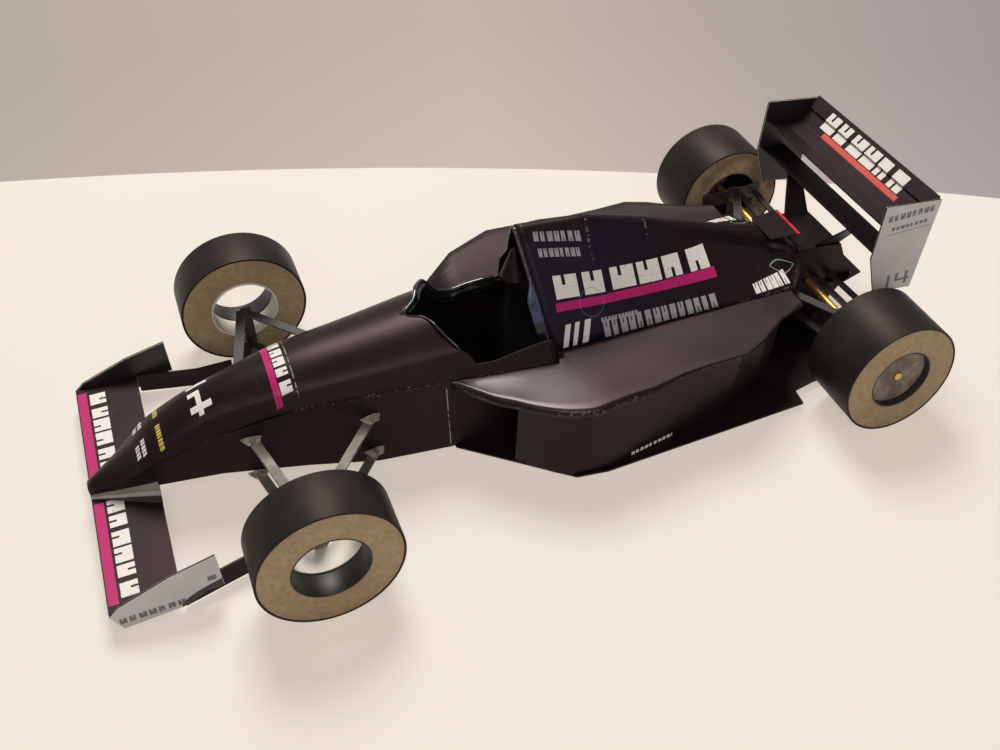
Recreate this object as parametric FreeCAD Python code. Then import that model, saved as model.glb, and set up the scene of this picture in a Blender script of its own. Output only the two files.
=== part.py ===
"""Open wheel racing car: a folded and rolled card scale model, in millimetres.

X runs forward, Y to the car's left, Z up. The floor is Z = 0 and the origin lies
under the middle of the car. Stations are measured ahead of the front axle.
"""
import FreeCAD, Part
import os

V = FreeCAD.Vector

# ---------------------------------------------------------------- driving sizes
# running gear
WHEELBASE = 123.2
FRONT_AXLE_X = 51.9            # from the frame's origin to the front axle
WHEEL_RADIUS = 13.75
FRONT_TYRE_WIDTH = 10.9
REAR_TYRE_WIDTH = 14.8
FRONT_HALF_TRACK = 38.9        # to the middle of the tyre
REAR_HALF_TRACK = 37.0
REAR_STATION = -123.2          # where the tables below have the rear axle
TREAD_CARD = 0.45              # wrapped paper band
RING_BOARD = 1.0               # greyboard side ring
HOLE_RADIUS = 7.4              # hole in a side ring
BARREL_CARD = 0.3
HUB_RECESS = 1.7               # rear hub disc behind the outer face
HUB_BOARD = 0.6
SHAFT_RADIUS = 0.9
SHAFT_STANDOUT = 0.6           # shaft end beyond the hub disc
SLEEVE_CLEARANCE = 0.08        # running clearance, sleeve in ring
SHAFT_CLEARANCE = 0.08         # running clearance, shaft in hub
MID_GAP = 0.4                  # between the fixed sleeve and the turning barrel
WHEEL_GAP = 0.3                # upright to the tyre's inner face

# sheet stock
CARD = 0.4                     # one folded card
PLATE = 0.5                    # two cards glued flat
JOIN = 0.02                    # glue line between neighbours
OVERRUN = 1.0                  # how far a bore or cut runs past the piece

# ground clearance
FLOOR_Z = 1.2                  # underside of the flat floor
FLOOR_TOP = FLOOR_Z + PLATE
TRAY_Z = FLOOR_TOP + JOIN      # what stands on the floor
POD_TOP_Z = 20.5
COVER_Z = POD_TOP_Z + JOIN     # foot of the engine cover

# lower monocoque: station, half width, bottom, seam
HULL = [
    (25.6, 6.4, 7.9, 13.3),
    (13.5, 7.1, 6.7, 16.8),
    (-3.0, 9.7, 4.6, 20.4),
    (-17.0, 11.5, TRAY_Z, POD_TOP_Z),
    (-32.0, 13.6, TRAY_Z, POD_TOP_Z),
    (-57.0, 14.6, TRAY_Z, POD_TOP_Z),
]
# upper shell on the seam: station, left half, right half, foot, top
COWL = [
    (25.6, 6.4, 6.4, 13.3, 17.3),
    (13.5, 7.1, 7.1, 16.8, 23.4),
    (-3.0, 9.7, 9.7, 20.4, 26.8),
    (-17.0, 11.5, 11.5, POD_TOP_Z, 28.0),
    (-32.0, 13.6, 13.6, POD_TOP_Z, 31.6),
    (-40.6, 15.2, 14.1, POD_TOP_Z, 32.3),
    (-55.5, 17.3, 14.6, POD_TOP_Z, 33.9),
]
# nose cone ahead of them: station, half width, widest height, top
NOSE = [
    (38.4, 1.6, 6.3, 7.5),
    (36.6, 2.3, 7.2, 8.7),
    (32.7, 3.9, 8.9, 11.1),
    (29.5, 5.1, 10.7, 13.7),
    (25.6, 6.4, 13.3, 17.3),
]
SHOULDER_WIDTH = 0.80          # shoulder half width over half width
SHOULDER_RISE = 0.55           # shoulder height over the shell's height
KEEL_WIDTH = 0.80              # flat underside of the nose over its width
KEEL_RISE = 0.35               # where its rounded corner ends, over the height to the widest part

# cockpit opening: front edge seen from above, station and half width
OPENING = [(-28.0, 0.0), (-31.2, 3.0), (-33.0, 7.2),
           (-35.2, 10.8), (-37.0, 12.0), (-38.8, 13.0)]
# the side walls behind it: station and height of the top edge
LEFT_WALL = [(-36.4, 27.0), (-38.8, 23.0), (-41.8, 22.9), (-52.0, 24.9), (-56.5, 25.2)]
RIGHT_WALL = [(-36.4, 27.0), (-38.8, 21.1), (-56.5, 21.1)]
# glossy strip inside the edge: station and height of its top
SCREEN_TOP = [(-27.5, 32.0), (-32.5, 32.0), (-35.5, 28.0),
              (-37.4, 24.6), (-39.4, 21.4), (-44.0, 21.2)]
SCREEN_CARD = 0.3
SCREEN_HEIGHT = 3.5

# seat back: station and height of its front face, from the foot up
SEAT = [(-47.4, TRAY_Z + CARD + JOIN), (-48.7, 4.3), (-51.8, 12.0),
        (-54.7, 17.7), (-55.2, POD_TOP_Z)]
SEAT_GAP = 0.6                 # seat edge to the tub wall
BULKHEAD_TOP = 38.0
HEADREST_AHEAD = 2.8           # its axis ahead of the bulkhead
HEADREST_BASE = 32.2
HEADREST_TOP = 38.8
HEADREST_RADIUS = 3.1
HEADREST_TIP_RADIUS = 0.5

# engine cover: station, ridge height, ridge half width, ridge drop, base half width, base
COVER = [
    (-52.0, 44.7, 1.8, 1.8, 13.9, COVER_Z),
    (-68.0, 43.2, 1.8, 1.8, 14.4, COVER_Z),
    (-82.0, 38.8, 2.0, 2.0, 14.6, COVER_Z),
    (-97.0, 33.2, 2.4, 2.4, 15.1, COVER_Z),
    (-107.5, 28.8, 3.0, 2.6, 15.5, COVER_Z),
    (-113.4, 26.4, 3.8, 2.0, 15.7, COVER_Z),
    (-119.2, 24.4, 7.0, 0.6, 9.4, 19.0),
]
COVER_FACE = [(-53.0, 44.6), (-55.6, 20.5)]    # raked front edge: station and height
HOOP_AHEAD = 0.9               # glossy strip in front of that edge
HOOP_BEHIND = 1.5
HOOP_FOOT = 22.0

# sidepods: the top outline, station, half width and depth of the folded lip
POD_TOP = [
    (-33.0, 13.9, 1.9), (-36.5, 18.4, 1.9), (-40.0, 22.4, 1.9), (-42.5, 24.4, 1.9),
    (-46.6, 28.0, 1.9), (-52.5, 31.6, 1.9), (-57.5, 33.0, 1.9), (-60.8, 32.7, 1.9),
    (-66.0, 32.3, 1.7), (-70.5, 32.2, 1.3), (-78.0, 30.6, 0.8), (-85.0, 30.2, 0.4),
    (-93.0, 30.4, 0.4), (-98.0, 28.2, 0.4), (-105.0, 23.7, 0.4), (-112.3, 21.0, 0.4),
    (-112.8, 19.8, 0.4),
]
POD_LAP = 1.0                  # pod top under the engine cover's foot
PANEL_INSET = 0.6              # side panel inside the pod's edge
# side panel: foot station, foot half width, head station
PANEL = [(-43.0, 22.6, -43.5), (-53.0, 31.2, -53.5), (-61.0, 32.0, -60.5), (-75.8, 29.6, -75.0),
         (-84.0, 28.2, -84.0), (-99.0, 24.4, -100.0), (-104.0, 21.4, -105.5)]

# floor: station and half width
FLOOR = [(-33.0, 13.9), (-43.2, 23.0), (-53.2, 31.8), (-60.0, 32.9), (-108.3, 32.0),
         (-108.8, 27.8), (-114.3, 26.8), (-132.0, 26.8)]

# front wing
FW_SPAN = 63.6
FW_LEAD = 38.4
FW_TRAIL = 25.7
FW_Z = 4.6
FW_ENDPLATE = [(38.4, 4.6), (36.6, 0.6), (25.8, 1.3), (21.5, 3.6), (18.2, 3.8),
               (18.5, 12.2), (27.0, 10.2), (36.6, 6.4)]
# ledge under the nose: station, half width at the wing, half width on top, top
LEDGE = [(38.4, 2.1, 1.8, 5.4), (25.6, 8.7, 7.8, 7.88)]
# turning vane behind each endplate: station and how far inside the endplate
VANE = [(25.6, 0.0), (13.0, 3.1), (5.6, 3.1)]
VANE_BOTTOM = 0.5
VANE_TOP = 5.2

# rear wing
RW_SPAN = 48.6
RW_MAIN = [(-127.7, 39.0), (-132.0, 37.7), (-136.5, 37.8), (-139.5, 40.0)]
RW_FLAP = [(-139.2, 40.4), (-142.1, 42.7)]
RW_LOWER = [(-127.4, 31.2), (-133.6, 30.8)]
RW_ENDPLATE = [(-127.6, 44.4), (-142.3, 42.6), (-138.6, 19.8), (-128.4, 21.3), (-126.0, 31.0)]
# flared supports: station and y at the gearbox, then at the lower beam
POST_FOOT = (-124.2, -130.8, 6.9)
POST_HEAD = (-127.8, -131.4, 13.0)

# tail
GEARBOX_HALF = 7.4
GEARBOX_TOP = [(-119.4, 24.0), (-131.2, 22.4)]
GEARBOX_BACK = [(-132.6, 18.7), (-135.1, 13.6), (-136.0, 11.6), (-133.0, 9.6)]
GEARBOX_FRONT = -100.0
GEARBOX_STEP = 17.8            # its lower front part, under the cover
GEARBOX_FOOT = -126.0
FLANGE = [(-127.5, 7.6), (-132.0, 9.5), (-138.2, 7.9)]
FLANGE_Z = 12.0
TAIL_PLATE = [(-113.2, 4.5), (-120.8, 5.2)]

# suspension strips
ARM_WIDTH = 2.0
ARM_BOARD = 0.5
LINK_WIDTH = 1.6
# axle, level, height, root stations and tip station, both ahead of that axle
WISHBONES = [
    ("front", "upper", 14.2, (6.6, -16.5), 1.0),
    ("front", "lower", 4.6, (6.6, -16.5), 1.0),
    ("rear", "upper", 16.0, (10.3,), -1.3),
    ("rear", "lower", 6.8, (4.2, -2.8), 0.0),
]
# rear lateral links: root station and tip station ahead of the rear axle
LINKS = [(-2.3, -3.1), (-6.0, -7.2)]
LINK_Z = 14.0
# uprights: half width, bottom and top
FRONT_UPRIGHT = (1.2, 3.0, 17.0)
REAR_UPRIGHT = (1.2, 4.0, 17.6)
REAR_RAIL = (8.2, 13.2, 17.2)  # the rear upright's long bar beside the wheel

SIDES = (("left", 1), ("right", -1))
AXLES = {
    "front": (0.0, FRONT_HALF_TRACK, FRONT_TYRE_WIDTH),
    "rear": (REAR_STATION, REAR_HALF_TRACK, REAR_TYRE_WIDTH),
}
UP = V(0, 0, 1)


# ---------------------------------------------------------------- helpers
def at(station):
    """X of a station. The tail, from the gearbox's front end, keeps its place at the rear
    axle, and what lies between it and the cover's mouth is drawn out or in."""
    mouth = COVER_FACE[1][0]
    share = (mouth - station) / (mouth - GEARBOX_FRONT)
    return FRONT_AXLE_X + station - (WHEELBASE + REAR_STATION) * min(max(share, 0), 1)


def row_at(rows, station):
    """The row of a table at a station between two of its rows."""
    for first, second in zip(rows, rows[1:]):
        if first[0] >= station >= second[0]:
            share = (first[0] - station) / (first[0] - second[0])
            return tuple(p + share * (q - p) for p, q in zip(first, second))
    return rows[-1] if station < rows[-1][0] else rows[0]


def run_on(rows, ahead, behind):
    """The same tapering rows, carried past both ends."""
    def beyond(row, neighbour, distance):
        share = distance / abs(row[0] - neighbour[0])
        return tuple(p + share * (p - q) for p, q in zip(row, neighbour))
    return [beyond(rows[0], rows[1], ahead)] + list(rows[1:-1]) + [beyond(rows[-1], rows[-2], behind)]


def prism(points, sweep):
    wire = Part.makePolygon(points + [points[0]])
    return Part.Face(wire).extrude(sweep)


def plate_z(outline, z, thick):
    """Flat sheet from (station, y) corners, from z upward."""
    return prism([V(at(s), y, z) for s, y in outline], UP * thick)


def plate_y(outline, y, thick):
    """Upright sheet from (station, z) corners, from y towards +Y."""
    return prism([V(at(s), y, z) for s, z in outline], V(0, thick, 0))


def sheet_across(profile, half_span, shift):
    """Sheet bent along a (station, z) line and drawn out across the car."""
    face = [V(at(s), -half_span, z) for s, z in profile]
    return prism(face + [p + shift for p in reversed(face)], V(0, 2 * half_span, 0))


def both_halves(outline):
    """The outline of a left half joined to its mirror image."""
    return outline + [(s, -y) for s, y in reversed(outline)]


def loft(wires):
    return Part.makeLoft(wires, True, True)


def sided(shape, sign):
    return shape if sign > 0 else shape.mirror(V(0, 0, 0), V(0, 1, 0))


def tube(radius, bore, y0, y1, x, z):
    outer = Part.makeCylinder(radius, y1 - y0, V(x, y0, z), V(0, 1, 0))
    if bore <= 0:
        return outer
    length = y1 - y0 + 2 * OVERRUN
    return outer.cut(Part.makeCylinder(bore, length, V(x, y0 - OVERRUN, z), V(0, 1, 0)))


parts = {}


# ---------------------------------------------------------------- nose and monocoque
def lower_wire(row, inset, raised):
    """Closed section of the lower tray."""
    station, half, bottom, seam = row
    x = at(station)
    half -= inset
    points = [V(x, half, seam + raised), V(x, half, bottom + inset),
              V(x, -half, bottom + inset), V(x, -half, seam + raised)]
    return Part.makePolygon(points + [points[0]])


def cowl_wire(row, inset, lowered):
    """Closed section of the upper shell: sloping sides under an arched top."""
    station, left, right, foot, top = row
    x = at(station)
    foot += JOIN
    top -= inset
    shoulder_z = foot + (top - foot) * SHOULDER_RISE
    splay = 1 + lowered * (1 - SHOULDER_WIDTH) / (shoulder_z - foot)
    feet = [V(x, half * splay, foot - lowered) for half in (left - inset, inset - right)]
    shoulders = [V(x, half * SHOULDER_WIDTH, shoulder_z) for half in (left - inset, inset - right)]
    return Part.Wire([
        Part.makeLine(feet[1], feet[0]),
        Part.makeLine(feet[0], shoulders[0]),
        Part.Arc(shoulders[0], V(x, 0, top), shoulders[1]).toShape(),
        Part.makeLine(shoulders[1], feet[1]),
    ])


def nose_wire(row):
    """Closed section of the nose cone, with rounded lower corners."""
    station, half, widest, top = row
    x = at(station)
    bottom = row_at(LEDGE, station)[3] + JOIN
    keel = half * KEEL_WIDTH
    corner = bottom + (widest - bottom) * KEEL_RISE
    shoulder_y = half * SHOULDER_WIDTH
    shoulder_z = widest + (top - widest) * SHOULDER_RISE
    left = [(keel, bottom), (half, corner), (half, widest), (shoulder_y, shoulder_z)]
    chain = [V(x, -y, z) for y, z in reversed(left)] + [V(x, y, z) for y, z in left]
    edges = [Part.makeLine(a, b) for a, b in zip(chain, chain[1:])]
    edges.append(Part.Arc(chain[-1], V(x, 0, top), chain[0]).toShape())
    return Part.Wire(edges)


def opening_prism(inset, rear):
    """Upright prism over the cockpit opening, its curved edge moved inward by inset."""
    edge = [V(at(s), -y, POD_TOP_Z - OVERRUN) for s, y in reversed(OPENING)]
    edge += [V(at(s), y, POD_TOP_Z - OVERRUN) for s, y in OPENING[1:]]
    moved = []
    for k, point in enumerate(edge):
        tangent = edge[min(k + 1, len(edge) - 1)] - edge[max(k - 1, 0)]
        tangent.normalize()
        moved.append(point + UP.cross(tangent) * inset)
    curve = Part.BSplineCurve()
    curve.interpolate(moved)
    back = [moved[-1]]
    back += [V(at(rear), corner.y, corner.z) for corner in (moved[-1], moved[0])]
    back += [moved[0]]
    wire = Part.Wire([curve.toShape()] + Part.makePolygon(back).Edges)
    return Part.Face(wire).extrude(UP * COVER[0][1])


def above(profile, y, thick):
    """Everything above a (station, z) line, from y towards +Y."""
    sky = COVER[0][1]
    return plate_y([(profile[0][0], sky)] + profile + [(profile[-1][0], sky)], y, thick)


def nose_top():
    shell = loft([cowl_wire(row, 0, 0) for row in COWL])
    shell = shell.cut(loft([cowl_wire(row, CARD, OVERRUN) for row in run_on(COWL, OVERRUN, OVERRUN)]))
    shell = shell.cut(opening_prism(0, COWL[-1][0] - OVERRUN))
    side = COWL[-1][1] + OVERRUN
    return shell.cut([above(LEFT_WALL, 0, side), above(RIGHT_WALL, -side, side)])


def tub():
    shell = loft([lower_wire(row, 0, 0) for row in HULL])
    return shell.cut(loft([lower_wire(row, CARD, OVERRUN) for row in run_on(HULL, OVERRUN, OVERRUN)]))


def windscreen():
    """Glossy strip that stands inside the cockpit edge, highest at the front."""
    rear = SCREEN_TOP[-1][0]
    ring = opening_prism(JOIN, rear).cut(opening_prism(JOIN + SCREEN_CARD, rear - OVERRUN))
    lower = [(s, z - SCREEN_HEIGHT) for s, z in reversed(SCREEN_TOP)]
    reach = OPENING[-1][1] + OVERRUN
    return ring.common(plate_y(SCREEN_TOP + lower, -reach, 2 * reach))


parts["nose_cone"] = loft([nose_wire(row) for row in NOSE])
parts["nose_top"] = nose_top()
parts["tub"] = tub()
for name in ("nose_top", "tub"):
    parts[name].translate(V(-JOIN, 0, 0))
parts["windscreen"] = windscreen()


# ---------------------------------------------------------------- engine cover and cockpit rear
def cover_wire(row, inset, lowered):
    station, ridge, ridge_half, drop, base_half, base = row
    x = at(station)
    half = base_half - inset
    roll = ridge_half - inset
    edge_z = ridge - drop
    half += lowered * (half - roll) / (edge_z - base)
    left, right = V(x, half, base - lowered), V(x, -half, base - lowered)
    return Part.Wire([
        Part.makeLine(right, left),
        Part.makeLine(left, V(x, roll, edge_z)),
        Part.Arc(V(x, roll, edge_z), V(x, 0, ridge - inset), V(x, -roll, edge_z)).toShape(),
        Part.makeLine(V(x, -roll, edge_z), right),
    ])


def cover_side(station, z):
    """Half width of the engine cover's outside."""
    _, ridge, ridge_half, drop, base_half, base = row_at(COVER, station)
    return base_half + (z - base) / (ridge - drop - base) * (ridge_half - base_half)


def face_line(ahead):
    """The raked front edge, moved ahead and drawn out past both ends."""
    top, foot = COVER_FACE
    rake = (top[0] - foot[0]) / (top[1] - foot[1])
    return [(foot[0] + ahead + rake * (z - foot[1]), z) for z in (foot[1] - OVERRUN, top[1] + OVERRUN)]


def engine_cover():
    outer = loft([cover_wire(row, 0, 0) for row in COVER])
    rear_wall = row_at(COVER, COVER[-1][0] + CARD)
    bore = run_on(COVER, OVERRUN, 0)[:-1] + [rear_wall]
    shell = outer.cut(loft([cover_wire(row, CARD, OVERRUN) for row in bore]))
    low, high = face_line(0)
    start = COVER[0][0] + OVERRUN
    side = COVER[0][4] + OVERRUN
    return shell.cut(plate_y([low, high, (start, high[1]), (start, low[1])], -side, 2 * side))


def roll_hoop():
    """Glossy strip rolled inside the front edge of the engine cover."""
    rows = run_on(COVER[:2], OVERRUN, 0)
    ring = loft([cover_wire(row, CARD + JOIN, OVERRUN) for row in rows])
    ring = ring.cut(loft([cover_wire(row, CARD + JOIN + SCREEN_CARD, 2 * OVERRUN)
                          for row in run_on(rows, OVERRUN, 0)]))
    front, back = face_line(HOOP_AHEAD), face_line(-HOOP_BEHIND)
    side = COVER[0][4]
    band = plate_y([front[0], front[1], back[1], back[0]], -side, 2 * side)
    foot = [(front[1][0], HOOP_FOOT), (back[0][0], HOOP_FOOT)]
    return ring.common(band).common(above(foot, -side, 2 * side))


def seat_back():
    """Reclined sheet that turns upright and closes the engine cover's mouth."""
    back = V(-PLATE, 0, 0)
    seat = sheet_across(SEAT, row_at(HULL, SEAT[0][0])[1] - CARD - SEAT_GAP, back)
    station, foot = SEAT[-1]
    gap = CARD + SCREEN_CARD + 3 * JOIN
    x = at(station)
    foot_y, head_y = (cover_side(station, z) - gap for z in (foot, BULKHEAD_TOP))
    wall = prism([V(x, -foot_y, foot), V(x, foot_y, foot), V(x, head_y, BULKHEAD_TOP),
                  V(x, -head_y, BULKHEAD_TOP)], back)
    return seat.fuse(wall).removeSplitter()


def headrest():
    x = at(SEAT[-1][0])
    axis = V(x + HEADREST_AHEAD, 0, HEADREST_BASE)
    cone = Part.makeCone(HEADREST_RADIUS, HEADREST_TIP_RADIUS, HEADREST_TOP - HEADREST_BASE, axis)
    reach = HEADREST_RADIUS + OVERRUN
    return cone.cut(Part.makeBox(reach, 2 * reach, 2 * reach, V(x - reach, -reach, HEADREST_BASE)))


parts["engine_cover"] = engine_cover()
parts["roll_hoop"] = roll_hoop()
parts["seat_back"] = seat_back()
parts["headrest"] = headrest()


# ---------------------------------------------------------------- sidepods and floor
def sidepod(sign):
    tub_end = HULL[-1][0] - JOIN
    rear = POD_TOP[-1][0]
    behind = [row for row in COVER if rear < row[0] < tub_end]
    under = [rear] + [row[0] for row in reversed(behind)] + [tub_end]
    inner = [(s, row_at(COVER, s)[4] - POD_LAP) for s in under]
    inner += [(s, row_at(HULL, s)[1] + JOIN) for s in (tub_end, POD_TOP[0][0])]
    body = plate_z([(s, y) for s, y, _ in POD_TOP] + inner, POD_TOP_Z - CARD, CARD)
    foot = [V(at(s), y, TRAY_Z) for s, y, _ in PANEL]
    head = [V(at(s), row_at(POD_TOP, s)[1] - PANEL_INSET, POD_TOP_Z - CARD) for _, _, s in PANEL]
    shift = V(0, -CARD, 0)
    for a, b, c, d in zip(foot, foot[1:], head[1:], head):
        body = body.fuse(loft([Part.makePolygon([a, d, d + shift, a + shift, a]),
                               Part.makePolygon([b, c, c + shift, b + shift, b])]))
    for first, second in zip(POD_TOP, POD_TOP[1:]):
        if first[2] > CARD:
            a, b = (V(at(row[0]), row[1], POD_TOP_Z) for row in (first, second))
            body = body.fuse(prism([a, b, b - UP * second[2], a - UP * first[2]], shift))
    return sided(body.removeSplitter(), sign)


for side, sign in SIDES:
    parts["sidepod_" + side] = sidepod(sign)
parts["floor"] = plate_z(both_halves(FLOOR), FLOOR_Z, PLATE)


# ---------------------------------------------------------------- tail
def flange():
    """Flat plate around the back of the gearbox."""
    plate = plate_z(both_halves(FLANGE), FLANGE_Z, CARD)
    back = min(s for s, _ in GEARBOX_BACK) - JOIN
    half = GEARBOX_HALF + JOIN
    return plate.cut(plate_z([(GEARBOX_FRONT, half), (back, half), (back, -half), (GEARBOX_FRONT, -half)],
                             FLANGE_Z - OVERRUN, CARD + 2 * OVERRUN))


parts["gearbox"] = plate_y(
    [(GEARBOX_FRONT, TRAY_Z), (GEARBOX_FRONT, GEARBOX_STEP), (GEARBOX_TOP[0][0], GEARBOX_STEP)]
    + GEARBOX_TOP + GEARBOX_BACK + [(GEARBOX_FOOT, TRAY_Z)], -GEARBOX_HALF, 2 * GEARBOX_HALF)
parts["tail_flange"] = flange()
parts["tail_plate"] = plate_z(both_halves(TAIL_PLATE), row_at(COVER, TAIL_PLATE[0][0])[1] + JOIN, CARD)

# ---------------------------------------------------------------- front wing
wing_half = FW_SPAN / 2 - PLATE - JOIN
parts["front_wing"] = plate_z(both_halves([(FW_LEAD, wing_half), (FW_TRAIL, wing_half)]), FW_Z, PLATE)


def ledge_wire(row):
    station, low_half, high_half, top = row
    x, low = at(station), FW_Z + PLATE + JOIN
    points = [V(x, low_half, low), V(x, high_half, top), V(x, -high_half, top), V(x, -low_half, low)]
    return Part.makePolygon(points + [points[0]])


parts["front_ledge"] = loft([ledge_wire(row) for row in LEDGE])
for side, sign in SIDES:
    parts["front_endplate_" + side] = sided(plate_y(FW_ENDPLATE, FW_SPAN / 2 - PLATE, PLATE), sign)
    outer = [(s, wing_half - inside) for s, inside in VANE]
    inner = [(s, y - PLATE) for s, y in reversed(outer)]
    parts["front_vane_" + side] = sided(plate_z(outer + inner, VANE_BOTTOM, VANE_TOP - VANE_BOTTOM), sign)


# ---------------------------------------------------------------- rear wing
def post():
    """Support flared from the gearbox's top edge out to the lower beam."""
    ends = []
    for (front, back, y), table, gap in ((POST_FOOT, GEARBOX_TOP, JOIN), (POST_HEAD, RW_LOWER, -JOIN)):
        corners = [V(at(s), across, row_at(table, s)[1] + gap)
                   for s, across in ((front, y), (back, y), (back, y - PLATE), (front, y - PLATE))]
        ends.append(Part.makePolygon(corners + [corners[0]]))
    return loft(ends)


rear_half = RW_SPAN / 2 - PLATE - JOIN
for piece, profile in (("main", RW_MAIN), ("flap", RW_FLAP), ("lower", RW_LOWER)):
    parts["rear_wing_" + piece] = sheet_across(profile, rear_half, UP * PLATE)
for side, sign in SIDES:
    parts["rear_endplate_" + side] = sided(plate_y(RW_ENDPLATE, RW_SPAN / 2 - PLATE, PLATE), sign)
    parts["rear_post_" + side] = sided(post(), sign)


# ---------------------------------------------------------------- wheels
def wheel(axle, sign):
    station, track, width = AXLES[axle]
    x, z = at(station), WHEEL_RADIUS
    inner, outer = track - width / 2, track + width / 2
    board = WHEEL_RADIUS - TREAD_CARD
    barrel_start = track + MID_GAP / 2 if axle == "front" else inner + RING_BOARD
    pieces = {
        "tread": tube(WHEEL_RADIUS, board, inner, outer, x, z),
        "rings": Part.makeCompound([tube(board, HOLE_RADIUS, inner, inner + RING_BOARD, x, z),
                                    tube(board, HOLE_RADIUS, outer - RING_BOARD, outer, x, z)]),
        "barrel": tube(HOLE_RADIUS, HOLE_RADIUS - BARREL_CARD, barrel_start, outer, x, z),
    }
    if axle == "rear":
        hub_y = outer - HUB_RECESS - HUB_BOARD
        pieces["hub"] = tube(HOLE_RADIUS - BARREL_CARD, SHAFT_RADIUS + SHAFT_CLEARANCE,
                             hub_y, hub_y + HUB_BOARD, x, z)
    return {piece: sided(shape, sign) for piece, shape in pieces.items()}


for axle in AXLES:
    for side, sign in SIDES:
        for piece, shape in wheel(axle, sign).items():
            parts["%s_%s_%s" % (axle, side, piece)] = shape


# ---------------------------------------------------------------- suspension
def upright_y(axle):
    """Outer face of an upright, just inside its tyre."""
    _, track, width = AXLES[axle]
    return track - width / 2 - WHEEL_GAP


def arm_room(axle):
    """The space between the body's side and the upright, at every height."""
    outer = upright_y(axle) - PLATE - JOIN
    if axle == "front":
        body = [(row[0], row[1] + JOIN) for row in HULL[:-1]]
    else:
        body = [(s, GEARBOX_HALF + JOIN) for s in (GEARBOX_FRONT, GEARBOX_BACK[0][0])]
    return plate_z(body + [(body[-1][0], outer), (body[0][0], outer)], 0, 2 * WHEEL_RADIUS)


def strip(axle, root, tip, z, width):
    """Flat strip from the body's side at one station to the upright at another."""
    station = AXLES[axle][0]
    a = V(at(station + root), row_at(HULL, station + root)[1] if axle == "front" else GEARBOX_HALF, z)
    b = V(at(station + tip), upright_y(axle) - PLATE, z)
    run = V(b.x - a.x, b.y - a.y, 0)
    run.normalize()
    side = UP.cross(run) * (width / 2)
    a, b = a - run * width, b + run * width
    return prism([a + side, b + side, b - side, a - side], UP * ARM_BOARD).common(arm_room(axle))


def upright(axle):
    half, low, high = FRONT_UPRIGHT if axle == "front" else REAR_UPRIGHT
    station, y = AXLES[axle][0], upright_y(axle) - PLATE
    plate = plate_y([(station + half, low), (station - half, low), (station - half, high),
                     (station + half, high)], y, PLATE)
    if axle == "front":
        return plate
    half, low, high = REAR_RAIL
    plate = plate.fuse(plate_y([(station + half, low), (station - half, low), (station - half, high),
                                (station + half, high)], y, PLATE)).removeSplitter()
    bore = SHAFT_RADIUS + SHAFT_CLEARANCE
    return plate.cut(tube(bore, 0, y - OVERRUN, y + PLATE + OVERRUN, at(station), WHEEL_RADIUS))


for axle, level, z, roots, tip in WISHBONES:
    legs = [strip(axle, root, tip, z, ARM_WIDTH) for root in roots]
    shape = legs[0].fuse(legs[1:]).removeSplitter() if len(legs) > 1 else legs[0]
    for side, sign in SIDES:
        parts["%s_wishbone_%s_%s" % (axle, level, side)] = sided(shape, sign)

for side, sign in SIDES:
    links = [strip("rear", root, tip, LINK_Z, LINK_WIDTH) for root, tip in LINKS]
    parts["rear_links_" + side] = sided(Part.makeCompound(links), sign)
    for axle in AXLES:
        parts["%s_upright_%s" % (axle, side)] = sided(upright(axle), sign)
    sleeve = tube(HOLE_RADIUS - SLEEVE_CLEARANCE, HOLE_RADIUS - SLEEVE_CLEARANCE - BARREL_CARD,
                  upright_y("front"), FRONT_HALF_TRACK - MID_GAP / 2, at(0), WHEEL_RADIUS)
    parts["front_sleeve_" + side] = sided(sleeve, sign)
    shaft_end = REAR_HALF_TRACK + REAR_TYRE_WIDTH / 2 - HUB_RECESS + SHAFT_STANDOUT
    shaft = tube(SHAFT_RADIUS, 0, GEARBOX_HALF + JOIN, shaft_end, at(REAR_STATION), WHEEL_RADIUS)
    parts["rear_shaft_" + side] = sided(shaft, sign)

# ---------------------------------------------------------------- export
os.makedirs("parts", exist_ok=True)
for name, shape in parts.items():
    assert shape.isValid(), name
    shape.exportStep("parts/%s.step" % name)
    print("%-32s solids %d volume %.2f" % (name, len(shape.Solids), shape.Volume))
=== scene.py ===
"""Open wheel racing car: the looks of a folded and rolled card scale model.

Sizes in the tables are millimetres. X runs forward, Y to the car's left, Z up, and
stations are measured ahead of the front axle.
"""
import math
from functools import reduce

import bmesh
import bpy
from mathutils import Matrix, Vector, noise


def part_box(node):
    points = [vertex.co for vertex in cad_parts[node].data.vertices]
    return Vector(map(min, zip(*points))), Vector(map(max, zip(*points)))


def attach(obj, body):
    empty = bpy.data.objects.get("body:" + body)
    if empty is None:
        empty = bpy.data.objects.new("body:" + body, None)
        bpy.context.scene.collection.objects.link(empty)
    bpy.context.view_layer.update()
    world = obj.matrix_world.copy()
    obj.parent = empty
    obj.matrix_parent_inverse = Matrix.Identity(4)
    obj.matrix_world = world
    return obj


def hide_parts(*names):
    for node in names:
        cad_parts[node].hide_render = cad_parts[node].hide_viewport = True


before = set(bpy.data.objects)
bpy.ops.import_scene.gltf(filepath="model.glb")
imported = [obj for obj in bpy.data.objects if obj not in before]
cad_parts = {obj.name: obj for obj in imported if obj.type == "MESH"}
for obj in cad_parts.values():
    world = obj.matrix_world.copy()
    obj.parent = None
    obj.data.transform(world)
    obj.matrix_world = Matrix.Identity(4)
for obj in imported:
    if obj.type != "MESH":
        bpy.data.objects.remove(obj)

bl_info = {
    "name": "Card racing car",
    "version": (1, 0, 0),
    "blender": (4, 5, 0),
    "location": "3D View > Sidebar > Card racer",
    "description": "Builds the looks of an open wheel racing car folded from card",
    "category": "Add Mesh",
}

MM = 0.001
SIDES = (("left", 1), ("right", -1))


def middle(node):
    """The middle of a CAD node's box, in millimetres."""
    low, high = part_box(node)
    return (low + high) / (2 * MM)


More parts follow.
